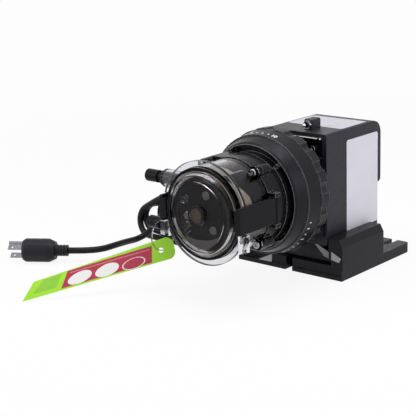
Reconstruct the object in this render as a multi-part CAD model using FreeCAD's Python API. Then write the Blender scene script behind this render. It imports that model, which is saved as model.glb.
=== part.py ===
import FreeCAD, Part
import math
import os

# An adjustable peristaltic metering pump on its mounting bracket. Millimetres, +Z up. The origin is the
# middle of the bracket's underside. The pump's main axis runs along Y, the clear head faces -Y and the
# labelled side of the motor housing faces +X.

os.makedirs("parts", exist_ok=True)
V = FreeCAD.Vector
ALONG_X = V(1, 0, 0)
ALONG_Y = V(0, 1, 0)
ALONG_Z = V(0, 0, 1)

# Clearances
slide_gap = 0.4        # foot in the bracket's grooves
seat_gap = 0.3         # between pieces of different bodies that pass or rest near each other
shaft_gap = 0.05       # a shaft or pin in its bush
ring_gap = 0.3         # dial ring on the gear case

# Mounting bracket
plate_width = 135.0
plate_depth = 127.0
plate_thickness = 10.7
plate_corner = 3.0
lip_height = 4.4
lip_step = 1.5
corner_pocket_depth = 6.0
gusset_left = -42.5
gusset_right = -23.0
front_slot_width = 9.0
front_slot_depth = 12.0
screw_slot_width = 7.5
screw_slot_depth = 16.0
screw_slot_spacing = 99.6
rail_thickness = 17.1
rail_height = 42.7
rail_length = 75.3
rail_setback = 1.5
rail_bevel_width = 4.0
rail_bevel_height = 7.5
groove_rise = 3.3      # groove floor above the plate
groove_height = 6.0
groove_depth = 3.0
groove_stop = 3.0
sill_height = 3.3
sill_depth = 9.0

# Main axis, and the motor housing round it
axis_height = 91.4
housing_left = 28.0
housing_right = 48.5
housing_above = 58.1
housing_below = 57.4
housing_front = -62.0
housing_length = 92.0
housing_wall = 3.0
housing_edge = 3.0
cap_depth = 6.0        # how far the upper half of the rear cover stands out
cap_above = 66.5       # the part of the housing's height that the cap covers
cap_corner = 14.0
cap_edge = 4.0
vent_rows = 6          # slots in the rear cover
vent_half_width = 20.0
vent_height = 2.0
vent_step = 4.5
vent_rise = 18.0

# Fascia on the housing's front
pocket_left = 14.0
pocket_width = 29.0
pocket_drop = 5.5
pocket_height = 19.0
pocket_depth = 10.0
fascia_lip_left = 3.5
fascia_lip_width = 40.0
fascia_lip_size = 1.6
fascia_screw_x = 25.0
fascia_screw_drop = 18.5
notch_width = 4.0
notch_height = 13.0
notch_rise = 10.0

# Screws
screw_radius = 2.0
screw_head_radius = 3.8
screw_head_height = 2.6
screw_drive_radius = 1.3
screw_gap = 0.1
boss_radius = 5.5
boss_length = 18.0
screw_inset = 8.0
screw_length = 14.0

# Foot that slides in the bracket
foot_front_gap = 1.0   # behind the sill
foot_half_top = 25.0
foot_wing_height = 5.4
foot_lean = 4.0
foot_wall = 5.0

# Switch on top
switch_left = 12.0
switch_width = 10.0
switch_front = -50.0
switch_depth = 16.0
switch_height = 10.5
switch_edge = 1.5
switch_bush_radius = 3.2
switch_bush_bore = 2.4
switch_bush_length = 3.0
lever_radius = 1.3
lever_length = 8.0
lever_ball_radius = 1.9
lever_barrel_radius = 1.6
lever_barrel_length = 3.4

# Motor
stator_width = 60.0
stator_below = 24.0
stator_above = 56.0
stator_front = -40.0
stator_depth = 30.0
rotor_radius = 15.4
air_gap = 0.6
window_width = 38.5
window_drop = 15.0
window_height = 17.0
coil_width = 36.5
coil_thickness = 6.0
bracket_sheet = 2.0
cup_radius = 17.5
cup_depth = 7.0
stud_radius = 3.0
stud_shank_radius = 1.9
stud_low_drop = 19.0
stud_high_rise = 33.0
stud_inset = 5.4
motor_shaft_radius = 2.0
bush_wall = 3.0
fan_gap = 7.0
fan_depth = 10.0
fan_radius = 24.0
fan_hub_radius = 6.0
fan_blades = 7
fan_blade_thickness = 2.0

# Gears; their module is worked out from the case's bore
pinion_teeth = 11
reduction_teeth = 44
output_teeth = 72
tooth_top = 0.85       # height of a tooth above its pitch circle, in modules
tooth_bottom = 1.25    # depth of a tooth below it
gear_backlash = 0.1    # added to each centre distance
gear_reach_gap = 0.355  # between the reduction gear's teeth and the case's bore
gear_width = 7.0
layer_gap = 1.0
gear_stud_radius = 2.0
partition_thickness = 3.0

# Gear case and dial ring
case_radius = 48.5
case_length = 65.7
case_wall = 3.0
back_plate_thickness = 4.0
neck_radius = 46.4
shelf_start = 48.0     # the sector of the case's front edge that is cut back, in degrees from +X
shelf_end = 115.0
shelf_depth = 9.0
shelf_thickness = 3.5
shelf_wall_turn = 3.0  # width of the recess's end walls, in degrees
dial_front = 18.0      # from the housing's front to the back edge of the dial ring
dial_length = 42.0
dial_bearing_length = 16.0
dial_clearance = 4.5   # between the gear case and the ring's bore
grip_length = 11.0
grip_thickness = 11.6  # this and the next four thicknesses start at the ring's bore
band_back_thickness = 10.6
band_front_thickness = 8.0
nose_back_thickness = 6.8
nose_front_thickness = 2.6
grip_lobes = 18
grip_lobe_radius = 7.0
grip_lobe_depth = 2.6
band_length = 17.0
nose_round = 1.8
cam_wall = 3.6
cam_length = 10.0
index_radius = 30.0
index_thickness = 3.0
index_notches = 12
index_notch_radius = 2.2
main_shaft_radius = 5.0

# Head adapter and clear tube housing
adapter_length = 22.3
adapter_wall = 3.4
tab_left = -26.0
tab_width = 13.0
tab_low = 30.0
tab_rise = 44.8
head_bore = 41.3
head_wall = 4.2
head_length = 41.0     # rear wall and barrel, up to the flange
head_floor = 3.0
flange_radius = 51.4
flange_thickness = 4.0
latch_width = 26.0
ear_length = 16.0
ear_reach = 9.0
ear_inner = 46.2
ear_outer = 52.5
corner_angles = (49.0, 131.0, 225.0, 315.0)
corner_circle = 48.5
corner_boss_radius = 5.8
corner_boss_length = 11.0  # on the adapter
head_boss_length = 7.0     # on the tube housing

# Clear cover of the head
cover_step_radius = 45.0
cover_step_depth = 3.0
cover_rim_radius = 41.8
cover_rim_depth = 5.0
ridge_outer = 37.8
ridge_inner = 33.0
ridge_depth = 10.5
dish_depth = 8.5
dish_inner_depth = 5.5
hub_radius = 10.0
hub_depth = 11.0
cover_bush_wall = 2.0

# Rollers
roller_radius = 8.0
roller_pitch = 19.5
roller_length = 21.0
roller_count = 3
roller_angle = 73.0
roller_pin_radius = 2.0
carrier_radius = 26.0
front_disc_radius = 36.0
disc_groove_outer = 31.0
disc_groove_inner = 28.5
disc_groove_depth = 1.0
disc_hub_radius = 8.5
disc_hub_height = 1.5
carrier_thickness = 5.0
carrier_gap = 0.5
head_clearance = 4.5   # carrier's front face behind the inside of the cover

# Peristaltic tube, ports and nuts
tube_radius = 6.35
tube_bore = 3.25
ferrule_bore = 2.4
port_height = 24.0
port_bend = 15.0
port_radius = 9.2
port_start = -33.0
port_end = -60.0
ferrule_flange_radius = 7.8
ferrule_flange = 3.0
ferrule_neck_radius = 4.7
ferrule_neck = 11.0
nut_start = -69.0
nut_length = 15.6
nut_radius = 6.3

# Latches
latch_inner = 46.8
latch_thickness = 4.0
latch_hook_reach = 3.6
latch_hook_thickness = 3.0
latch_hook_trim = 3.0
latch_barrel_radius = 3.5
latch_pin_radius = 1.5
latch_ear_thickness = 4.0

# Cord
cord_radius = 3.5
relief_length = 28.0
relief_big_radius = 7.0
relief_small_radius = 5.0
relief_flange_radius = 9.0
relief_flange = 3.0
cord_exit_height = 60.0
cord_exit_y = 0.0
hank_left_x = -199.0   # the bundle's outline is two round ends of different sizes and their tangents
hank_left_radius = 25.0
hank_right_x = -109.8
hank_right_radius = 32.35
hank_front = -68.3
hank_back = -32.4
hank_floor = 0.3
cord_run = [(-74.0, 0.0, 60.0), (-93.0, 1.6, 55.6), (-109.5, 4.0, 44.0), (-122.5, 6.2, 28.0),
            (-135.5, 8.2, 13.8), (-151.0, 9.6, 5.2), (-168.7, 9.8, 3.5), (-181.3, 7.4, 3.5),
            (-192.1, 0.6, 3.5), (-200.4, -9.4, 3.5), (-204.0, -20.6, 3.5)]
cord_run_end = (-204.0, 3.5)
cord_lead_start = (-211.4, -66.0, 3.9)
cord_lead = [(-199.6, -90.1, 6.0), (-191.4, -112.7, 9.0), (-186.0, -136.1, 11.6), (-187.2, -150.0, 12.3),
             (-192.7, -162.5, 12.8), (-203.55, -173.35, 13.1)]
plug_start = (-212.8, -179.3, 13.1)
plug_heading = (-0.841, -0.541)
plug_roll = 60.0       # about the plug's length
plug_relief_length = 13.4
plug_relief_radius = 6.2
plug_rib_gap = 1.4
plug_rib_depth = 1.0
plug_shoulder_length = 7.4
plug_shoulder_radius = 9.6
plug_body_length = 28.5
plug_body_radius = 12.9
plug_flat = 12.4       # from the plug's middle to each of its four flats
plug_nose_taper = 3.0
plug_nose_drop = 1.6
blade_length = 15.9
blade_width = 6.4
blade_thickness = 1.5
blade_spacing = 12.7
blade_hole_radius = 1.6
blade_hole_inset = 4.5
blade_drop = 2.0
ground_radius = 2.4
ground_rise = 9.9
ground_extra = 2.9     # how much longer than the blades the ground pin is

# Hang tag
tag_width = 22.6
tag_thickness = 0.6
tag_low_end = (-150.4, -290.9, 9.6)
tag_high_end = (-57.5, -175.9, 44.3)
tag_low_edge = (4.7, 13.8, 19.5)
tag_high_edge = (-5.0, 0.0, 21.1)
tag_end_round = 8.0
tag_hole_inset = 13.9
tag_hole_radius = 2.6
tie_radius = 0.8

# Places worked out from the sizes above
plate_half = plate_width / 2
plate_front = -plate_depth / 2
plate_back = plate_depth / 2
rail_inner = plate_half - rail_thickness
rail_front = plate_front + rail_setback
rail_back = rail_front + rail_length
groove_floor = plate_thickness + groove_rise
groove_top = groove_floor + groove_height
sill_top = plate_thickness + sill_height
housing_top = axis_height + housing_above
housing_bottom = axis_height - housing_below
housing_back = housing_front + housing_length
housing_middle = (housing_right - housing_left) / 2
cap_back = housing_back + cap_depth
cap_bottom = housing_top - cap_above
case_bore = case_radius - case_wall
gear_reach = (pinion_teeth + output_teeth) / 2 + reduction_teeth / 2 + tooth_top
gear_module = (case_bore - gear_reach_gap - gear_backlash) / gear_reach
first_centres = gear_module * (pinion_teeth + reduction_teeth) / 2 + gear_backlash
second_centres = gear_module * (pinion_teeth + output_teeth) / 2 + gear_backlash
reduction_z = axis_height - second_centres
motor_x = housing_middle
motor_z = reduction_z + math.sqrt(first_centres ** 2 - motor_x ** 2)
stator_back = stator_front + stator_depth
case_front = housing_front - case_length
dial_bore = case_radius + dial_clearance
grip_radius = dial_bore + grip_thickness
band_radius_back = dial_bore + band_back_thickness
band_radius_front = dial_bore + band_front_thickness
nose_radius_back = dial_bore + nose_back_thickness
nose_radius_front = dial_bore + nose_front_thickness
back_plate_front = housing_front - back_plate_thickness
layer_one_back = back_plate_front - layer_gap
layer_one_front = layer_one_back - gear_width
partition_back = layer_one_front - layer_gap
partition_front = partition_back - partition_thickness
layer_two_back = partition_front - layer_gap
layer_two_front = layer_two_back - gear_width
index_back = layer_two_front - 2 * layer_gap
dial_back = housing_front - dial_front
dial_nose = dial_back - dial_length
adapter_front = case_front - adapter_length
barrel_front = adapter_front - head_length
flange_front = barrel_front - flange_thickness
cover_front = flange_front - hub_depth
head_floor_front = adapter_front - head_floor
head_outer = head_bore + head_wall
cover_inside = flange_front - dish_inner_depth
carrier_front = cover_inside + head_clearance
roller_front = carrier_front + carrier_thickness + carrier_gap
roller_back = roller_front + roller_length
rear_carrier_front = roller_back + carrier_gap
tube_y = (roller_front + roller_back) / 2
tube_circle = head_bore - seat_gap - tube_radius
latch_x = latch_inner + latch_thickness - latch_barrel_radius + 1.2
latch_y = adapter_front + latch_barrel_radius + 0.5
latch_hook_back = flange_front - cover_step_depth - seat_gap
stud_left_x = housing_middle - stator_width / 2 + stud_inset
stud_right_x = housing_middle + stator_width / 2 - stud_inset


def save(name, shape):
    shape.exportStep("parts/" + name + ".step")


def box(x0, x1, y0, y1, z0, z1):
    return Part.makeBox(x1 - x0, y1 - y0, z1 - z0, V(x0, y0, z0))


def rod(radius, y_front, y_back, x=0.0, z=axis_height):
    return Part.makeCylinder(radius, y_back - y_front, V(x, y_front, z), ALONG_Y)


def cross_rod(radius, x0, x1, y, z):
    return Part.makeCylinder(radius, x1 - x0, V(x0, y, z), ALONG_X)


def tube(outer, inner, y_front, y_back, x=0.0, z=axis_height):
    return rod(outer, y_front, y_back, x, z).cut(rod(inner, y_front - 1, y_back + 1, x, z))


def prism(corners, along):
    wire = Part.makePolygon(corners + [corners[0]])
    return Part.Face(wire).extrude(along)


def prism_y(points, y0, y1):
    return prism([V(x, y0, z) for x, z in points], V(0, y1 - y0, 0))


def prism_x(points, x0, x1):
    return prism([V(x0, y, z) for y, z in points], V(x1 - x0, 0, 0))


def turned(points, x=0.0, z=axis_height):
    """A solid of revolution about the Y axis through (x, z), from (radius, y) points."""
    wire = Part.makePolygon([V(x + r, y, z) for r, y in points] + [V(x + points[0][0], points[0][1], z)])
    return Part.Face(wire).revolve(V(x, 0, z), ALONG_Y, 360)


def turned_x(points, y, z):
    """A solid of revolution about the X axis through (y, z), from (radius, x) points."""
    wire = Part.makePolygon([V(x, y, z + r) for r, x in points] + [V(points[0][1], y, z + points[0][0])])
    return Part.Face(wire).revolve(V(0, y, z), ALONG_X, 360)


def both_sides(shape):
    return shape.fuse(shape.mirror(V(0, 0, 0), ALONG_X))


def upright_edges(shape, x, y):
    """The vertical edges of a shape that stand at (x, y)."""
    found = []
    for edge in shape.Edges:
        ends = [vertex.Point for vertex in edge.Vertexes]
        if all(abs(p.x - x) < 0.01 and abs(p.y - y) < 0.01 for p in ends):
            found.append(edge)
    return found


def on_axis(angle, radius, y):
    """A point at an angle round the main axis, measured from +X towards +Z."""
    turn = math.radians(angle)
    return V(radius * math.cos(turn), y, axis_height + radius * math.sin(turn))


def sector(outer, y_front, y_back, start, end):
    """A slice of a disc about the main axis, between two angles."""
    disc = Part.makeCylinder(outer, y_back - y_front, V(0, y_back, axis_height), V(0, -1, 0), end - start)
    # the cylinder's own zero angle, turned to the start
    for vertex in disc.Vertexes:
        offset = vertex.Point.sub(V(0, vertex.Point.y, axis_height))
        if offset.Length > outer / 2:
            first = math.degrees(math.atan2(offset.z, offset.x))
            turned_disc = disc.copy()
            turned_disc.rotate(V(0, 0, axis_height), V(0, -1, 0), start - first)
            middle = on_axis((start + end) / 2, outer * 0.9, (y_front + y_back) / 2)
            if turned_disc.isInside(middle, 0.01, True):
                return turned_disc
    return disc


def screw(x, y, z, length):
    """A pan-head screw that points along +Y from the face at y, its head standing out to -Y."""
    head = Part.makeCylinder(screw_head_radius, screw_head_height, V(x, y - screw_head_height, z), ALONG_Y)
    rim = [edge for edge in head.Edges if abs(edge.CenterOfMass.y - (y - screw_head_height)) < 0.01]
    head = head.makeFillet(screw_head_height / 3, [rim[0]])
    shank = Part.makeCylinder(screw_radius, length, V(x, y, z), ALONG_Y)
    drive = Part.makeCylinder(screw_drive_radius, screw_head_height / 2, V(x, y - screw_head_height, z), ALONG_Y)
    return head.fuse(shank).cut(drive).removeSplitter()


def turned_back(shape, y):
    """The same shape, turned to face +Y about a vertical axis at y."""
    copy = shape.copy()
    copy.rotate(V(0, y, 0), ALONG_Z, 180)
    return copy


def gear(teeth, y_front, y_back, x, z, bore, first_tooth):
    """A spur gear about a Y axis, with one tooth centred on the angle first_tooth."""
    pitch_radius = gear_module * teeth / 2
    root = pitch_radius - tooth_bottom * gear_module
    tip = pitch_radius + tooth_top * gear_module
    pitch = 2 * math.pi / teeth
    points = []
    for number in range(teeth):
        middle = math.radians(first_tooth) + number * pitch
        for radius, share in ((root, -0.3), (tip, -0.1), (tip, 0.1), (root, 0.3)):
            angle = middle + share * pitch
            points.append((x + radius * math.cos(angle), z + radius * math.sin(angle)))
    blank = prism_y(points, y_front, y_back)
    return blank.cut(rod(bore, y_front - 1, y_back + 1, x, z))


def smooth_path(points):
    """Straight runs joined by tangent arcs, and the radii of the arcs."""
    corners = [V(*point) for point in points]
    edges = []
    radii = []
    start = corners[0]
    for before, corner, after in zip(corners, corners[1:], corners[2:]):
        incoming = corner.sub(before).normalize()
        outgoing = after.sub(corner).normalize()
        half_turn = incoming.getAngle(outgoing) / 2
        reach = 0.45 * min(corner.sub(before).Length, after.sub(corner).Length)
        radius = reach / math.tan(half_turn)
        radii.append(radius)
        arc_start = corner.sub(incoming * reach)
        arc_end = corner.add(outgoing * reach)
        inward = outgoing.sub(incoming).normalize()
        centre = corner.add(inward * (radius / math.cos(half_turn)))
        arc_middle = centre.sub(inward * radius)
        edges.append(Part.LineSegment(start, arc_start).toShape())
        edges.append(Part.Arc(arc_start, arc_middle, arc_end).toShape())
        start = arc_end
    edges.append(Part.LineSegment(start, corners[-1]).toShape())
    return Part.Wire(edges), radii


def sweep(wire, radius):
    start = wire.Edges[0].valueAt(wire.Edges[0].FirstParameter)
    heading = wire.Edges[0].tangentAt(wire.Edges[0].FirstParameter)
    circle = Part.Wire([Part.Circle(start, heading, radius).toShape()])
    return wire.makePipeShell([circle], True, False)


def cord_tube(name, points):
    wire, radii = smooth_path(points)
    solid = sweep(wire, cord_radius)
    expected = math.pi * cord_radius ** 2 * wire.Length
    print(name, "length", round(wire.Length, 1), "radii", [round(radius, 1) for radius in radii],
          "volume share", round(solid.Volume / expected, 3))
    return solid


def make_bracket():
    plate = box(-plate_half, plate_half, plate_front, plate_back, 0, plate_thickness)
    corners = []
    for x in (-plate_half, plate_half):
        corners += upright_edges(plate, x, plate_back)
    plate = plate.makeFillet(plate_corner, corners)
    step = box(-plate_half, plate_half - lip_step, plate_front, plate_front + lip_step, lip_height,
               plate_thickness)
    pocket = box(-plate_half, gusset_right, plate_front, plate_front + corner_pocket_depth, lip_height,
                 plate_thickness)
    plate = plate.cut(step).cut(pocket)
    slot = box(-front_slot_width / 2, front_slot_width / 2, plate_front - 1, plate_front + front_slot_depth,
               -1, plate_thickness + 1)
    plate = plate.cut(slot)
    for side in (-1, 1):
        x = side * screw_slot_spacing / 2
        plate = plate.cut(box(x - screw_slot_width / 2, x + screw_slot_width / 2,
                              plate_back - screw_slot_depth, plate_back + 1, -1, plate_thickness + 1))
        plate = plate.cut(Part.makeCylinder(screw_slot_width / 2, plate_thickness + 2,
                                            V(x, plate_back - screw_slot_depth, -1)))
    rail = prism_y([(rail_inner, plate_thickness), (plate_half, plate_thickness),
                    (plate_half, rail_height - rail_bevel_height),
                    (plate_half - rail_bevel_width, rail_height), (rail_inner, rail_height)],
                   rail_front, rail_back)
    groove = box(rail_inner - 1, rail_inner + groove_depth, rail_front - 1, rail_back - groove_stop,
                 groove_floor, groove_top)
    rails = both_sides(rail.cut(groove))
    sill_front = plate_front + lip_step
    sill = box(gusset_right, rail_inner, sill_front, rail_front + sill_depth, plate_thickness, sill_top)
    ramp = prism_x([(plate_front, lip_height), (sill_front + corner_pocket_depth, sill_top),
                    (sill_front + corner_pocket_depth, lip_height)], gusset_left, gusset_right)
    fan_face = prism_y([(gusset_left, lip_height), (gusset_right, sill_top), (gusset_right, lip_height)],
                       plate_front - 1, plate_front + 2 * corner_pocket_depth)
    gusset = ramp.common(fan_face)
    bracket = plate.fuse([rails, sill, gusset]).cut(slot_above_front())
    return bracket.removeSplitter()


def slot_above_front():
    """The front slot goes on through the sill."""
    return box(-front_slot_width / 2, front_slot_width / 2, plate_front - 1, plate_front + front_slot_depth,
               -1, sill_top + 1)


def housing_block(inset, y_front, y_back):
    """The rounded outer form of the motor housing, moved inwards by an inset."""
    left = -housing_left + inset
    right = housing_right - inset
    low = housing_bottom + inset
    high = housing_top - inset
    back = cap_back - inset
    corner = max(cap_corner - inset, 1.0)
    front = housing_front + inset
    turn = math.radians(45)
    centre = V(left, back - corner, high - corner)
    arc = Part.Arc(V(left, back - corner, high),
                   V(left, centre.y + corner * math.sin(turn), centre.z + corner * math.cos(turn)),
                   V(left, back, high - corner)).toShape()
    side = Part.Wire([Part.LineSegment(V(left, front, low), V(left, front, high)).toShape(),
                      Part.LineSegment(V(left, front, high), V(left, back - corner, high)).toShape(),
                      arc,
                      Part.LineSegment(V(left, back, high - corner), V(left, back, low)).toShape(),
                      Part.LineSegment(V(left, back, low), V(left, front, low)).toShape()])
    solid = Part.Face(side).extrude(V(right - left, 0, 0))
    section = box(left, right, front - 1, back + 1, low, high)
    long_edges = []
    for edge in section.Edges:
        if abs(edge.Length - (back - front + 2)) < 0.01:
            long_edges.append(edge)
    section = section.makeFillet(max(housing_edge - inset / 2, 0.8), long_edges)
    return solid.common(section).common(box(left, right, y_front, y_back, low, high))


def cover_screw_places():
    """x, z and face y of the four screws that hold the rear cover."""
    places = []
    for x in (-housing_left + screw_inset, housing_right - screw_inset):
        places.append((x, housing_bottom + screw_inset, housing_back))
        places.append((x, housing_top - cap_corner - screw_inset, cap_back))
    return places


def foot():
    half = rail_inner - slide_gap
    wing = rail_inner + groove_depth - slide_gap
    low = groove_floor + seat_gap
    wing_top = low + foot_wing_height
    front = rail_front + sill_depth + foot_front_gap
    back = rail_back - groove_stop - slide_gap
    block = prism_y([(-wing, low), (wing, low), (wing, wing_top), (half, wing_top),
                     (foot_half_top, housing_bottom), (-foot_half_top, housing_bottom),
                     (-half, wing_top), (-wing, wing_top)], front, back)
    lean = prism_x([(front, low), (front, housing_bottom), (front + foot_lean, housing_bottom)],
                   -wing, wing)
    hollow = box(-foot_half_top + foot_wall, foot_half_top - foot_wall, front + foot_lean + foot_wall,
                 back - foot_wall, low, housing_bottom - foot_wall / 2)
    return block.cut(lean).cut(hollow)


def make_motor_housing():
    body = housing_block(0, housing_front, housing_back)
    inner = housing_block(housing_wall, housing_front + housing_wall, housing_back + 1)
    body = body.cut(inner)
    pocket_top = housing_top - pocket_drop
    pocket_low = pocket_top - pocket_height
    pocket_right = pocket_left + pocket_width
    pocket_back = housing_front + pocket_depth
    lining = box(pocket_left - housing_wall, min(pocket_right + housing_wall, housing_right - 1),
                 housing_front + 1, pocket_back + housing_wall, pocket_low - housing_wall, housing_top - 1)
    body = body.fuse(lining)
    body = body.cut(box(pocket_left, pocket_right, housing_front - 1, pocket_back, pocket_low, pocket_top))
    lip = box(fascia_lip_left, fascia_lip_left + fascia_lip_width, housing_front - fascia_lip_size,
              housing_front, pocket_top, pocket_top + fascia_lip_size)
    notch = box(housing_right - notch_width - 2, housing_right - 2, housing_front - 1, housing_front + 2,
                housing_bottom + notch_rise, housing_bottom + notch_rise + notch_height)
    bosses = []
    for x, z, face in cover_screw_places():
        bosses.append(rod(boss_radius, housing_back - housing_wall - seat_gap - boss_length,
                          housing_back - housing_wall - seat_gap, x, z))
    body = body.fuse([lip, foot()] + bosses).cut(notch)
    for x, z, face in cover_screw_places():
        body = body.cut(rod(screw_radius, face - screw_length - screw_gap, face, x, z))
    body = body.cut(rod(screw_radius, pocket_back - 1, pocket_back + housing_wall + 1, fascia_screw_x,
                        housing_top - fascia_screw_drop))
    body = body.cut(rod(motor_shaft_radius + 2, housing_front - 1, housing_front + housing_wall + 1,
                        motor_x, motor_z))
    outline = housing_block(0, housing_front - fascia_lip_size, housing_back)
    clip = box(-plate_width, plate_width, housing_front - pocket_depth, housing_back, 0, housing_bottom)
    allowed = outline.fuse([clip, lip])
    body = body.common(allowed)
    relief_hole = cross_rod(cord_radius + 1, -housing_left - 1, -housing_left + housing_wall + 1,
                            cord_exit_y, cord_exit_height)
    return body.cut(relief_hole).removeSplitter()


def make_rear_cover():
    cap = housing_block(0, housing_back, cap_back)
    above = box(-plate_width, plate_width, housing_back - 1, cap_back + 1, cap_bottom, housing_top + 1)
    cap = cap.common(above)
    low_edges = []
    for edge in cap.Edges:
        middle = edge.CenterOfMass
        if abs(middle.z - cap_bottom) < 0.01 and abs(middle.y - cap_back) < 0.01:
            low_edges.append(edge)
    cap = cap.makeFillet(min(cap_edge, cap_depth - 1), low_edges)
    plate = housing_block(housing_wall + screw_gap, housing_back - housing_wall, housing_back)
    cover = plate.fuse(cap)
    for row in range(vent_rows):
        z = housing_bottom + vent_rise + vent_step * row
        cover = cover.cut(box(housing_middle - vent_half_width, housing_middle + vent_half_width,
                              housing_back - housing_wall - 1, housing_back + 1, z, z + vent_height))
    for x, z, face in cover_screw_places():
        cover = cover.cut(rod(screw_radius + screw_gap, housing_back - housing_wall - 1, face + 1, x, z))
    return cover.removeSplitter()


def make_cover_screws():
    group = []
    for x, z, face in cover_screw_places():
        one = turned_back(screw(x, face, z, screw_length), face)
        one.translate(V(2 * x, 0, 0))
        group.append(one)
    return Part.makeCompound(group)


def make_fascia_screw():
    return screw(fascia_screw_x, housing_front + pocket_depth, housing_top - fascia_screw_drop,
                 housing_wall - 0.5)


def make_switch_block():
    block = box(switch_left, switch_left + switch_width, switch_front, switch_front + switch_depth,
                housing_top, housing_top + switch_height)
    top = [edge for edge in block.Edges if edge.CenterOfMass.z > housing_top + 1]
    block = block.makeFillet(switch_edge, top)
    x = switch_left + switch_width / 2
    z = housing_top + switch_height / 2
    bush = rod(switch_bush_radius, switch_front - switch_bush_length, switch_front + 2, x, z)
    bore = rod(switch_bush_bore, switch_front - switch_bush_length - 1,
               switch_front + 2 * lever_barrel_radius, x, z)
    return block.fuse(bush).cut(bore).removeSplitter()


def make_switch_lever():
    x = switch_left + switch_width / 2
    z = housing_top + switch_height / 2
    tip = switch_front - lever_length
    bat = turned([(0, switch_front), (lever_radius, switch_front),
                  (lever_radius, switch_front - switch_bush_length),
                  (lever_ball_radius, tip + lever_ball_radius), (0, tip + lever_ball_radius)], x, z)
    ball = Part.makeSphere(lever_ball_radius, V(x, tip + lever_ball_radius, z))
    barrel = cross_rod(lever_barrel_radius, x - lever_barrel_length / 2, x + lever_barrel_length / 2,
                       switch_front, z)
    return bat.fuse([ball, barrel]).removeSplitter()


def stud_places():
    return [(stud_left_x, motor_z - stud_low_drop), (stud_right_x, motor_z - stud_low_drop),
            (stud_left_x, motor_z + stud_high_rise), (stud_right_x, motor_z + stud_high_rise)]


def make_stator():
    core = box(housing_middle - stator_width / 2, housing_middle + stator_width / 2, stator_front,
               stator_back, motor_z - stator_below, motor_z + stator_above)
    window_top = motor_z + stator_above - window_drop
    core = core.cut(box(housing_middle - window_width / 2, housing_middle + window_width / 2,
                        stator_front - 1, stator_back + 1, window_top - window_height, window_top))
    core = core.cut(rod(rotor_radius + air_gap, stator_front - 1, stator_back + 1, motor_x, motor_z))
    for x, z in stud_places():
        core = core.cut(rod(stud_shank_radius + screw_gap, stator_front - 1, stator_back + 1, x, z))
    return core


def make_coil():
    leg_top = motor_z + stator_above
    leg_low = leg_top - window_drop
    left = housing_middle - coil_width / 2
    right = housing_middle + coil_width / 2
    outer = box(left, right, stator_front - coil_thickness, stator_back + coil_thickness,
                leg_low - coil_thickness, leg_top + coil_thickness)
    long_edges = [edge for edge in outer.Edges if abs(edge.Length - coil_width) < 0.01]
    outer = outer.makeFillet(coil_thickness * 0.6, long_edges)
    return outer.cut(box(left - 1, right + 1, stator_front, stator_back, leg_low, leg_top))


def motor_bracket(face, direction):
    """A sheet on the stator's end with a cup that carries a bush; direction is -1 at the front."""
    far = face + direction * bracket_sheet
    sheet = box(housing_middle - stator_width / 2, housing_middle + stator_width / 2, min(face, far),
                max(face, far), motor_z - stator_below, motor_z + stud_high_rise + stud_inset)
    cup_end = face + direction * cup_depth
    cup = rod(cup_radius, min(face, cup_end), max(face, cup_end), motor_x, motor_z)
    hollow_end = cup_end - direction * bracket_sheet
    hollow = rod(cup_radius - bracket_sheet, min(face, hollow_end) - (direction > 0),
                 max(face, hollow_end) + (direction < 0), motor_x, motor_z)
    window_top = motor_z + stator_above - window_drop
    opening = box(housing_middle - window_width / 2, housing_middle + window_width / 2, min(face, far) - 1,
                  max(face, far) + 1, window_top - window_height, window_top)
    part = sheet.fuse(cup).cut(hollow).cut(opening)
    part = part.cut(rod(motor_shaft_radius + bush_wall, min(face, cup_end) - 1, max(face, cup_end) + 1,
                        motor_x, motor_z))
    for x, z in stud_places():
        part = part.cut(rod(stud_shank_radius + screw_gap, min(face, far) - 1, max(face, far) + 1, x, z))
    return part.removeSplitter()


def make_studs():
    group = []
    for x, z in stud_places():
        shoulder = rod(stud_radius, housing_front + housing_wall, stator_front - bracket_sheet, x, z)
        shank = rod(stud_shank_radius, stator_front - bracket_sheet, stator_back + bracket_sheet, x, z)
        head = rod(stud_radius, stator_back + bracket_sheet, stator_back + bracket_sheet + 3, x, z)
        group.append(shoulder.fuse([shank, head]).removeSplitter())
    return Part.makeCompound(group)


def make_bushes():
    motor_outer = motor_shaft_radius + bush_wall
    motor_bore = motor_shaft_radius + shaft_gap
    main_outer = main_shaft_radius + bush_wall
    main_bore = main_shaft_radius + shaft_gap
    front_cup = stator_front - cup_depth
    rear_cup = stator_back + cup_depth
    return Part.makeCompound([
        tube(motor_outer, motor_bore, front_cup - 1, front_cup + bracket_sheet + 2, motor_x, motor_z),
        tube(motor_outer, motor_bore, rear_cup - bracket_sheet - 2, rear_cup + 1, motor_x, motor_z),
        tube(main_outer, main_bore, back_plate_front - gear_width / 2, housing_front - seat_gap),
        tube(main_outer, main_bore, case_front, case_front + 2 * case_wall),
        tube(main_outer, main_bore, head_floor_front, head_floor_front + 2 * head_floor)])


def make_rotor():
    return tube(rotor_radius, motor_shaft_radius, stator_front + 1, stator_back - 1, motor_x, motor_z)


def make_rotor_shaft():
    return rod(motor_shaft_radius, layer_one_front, stator_back + cup_depth + fan_gap + fan_depth, motor_x,
               motor_z)


def make_fan():
    front = stator_back + cup_depth + fan_gap
    back = front + fan_depth
    blades = []
    for number in range(fan_blades):
        blade = box(motor_x + fan_hub_radius - 1, motor_x + fan_radius - 1, front, back,
                    motor_z - fan_blade_thickness / 2, motor_z + fan_blade_thickness / 2)
        blade.rotate(V(motor_x, (front + back) / 2, motor_z), ALONG_X, 35)
        blade.rotate(V(motor_x, 0, motor_z), ALONG_Y, number * 360 / fan_blades)
        blades.append(blade)
    hub = rod(fan_hub_radius, front, back, motor_x, motor_z)
    limit = rod(fan_radius, front, back, motor_x, motor_z)
    fan = hub.fuse(blades).common(limit)
    return fan.cut(rod(motor_shaft_radius, front - 1, back + 1, motor_x, motor_z)).removeSplitter()


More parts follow.
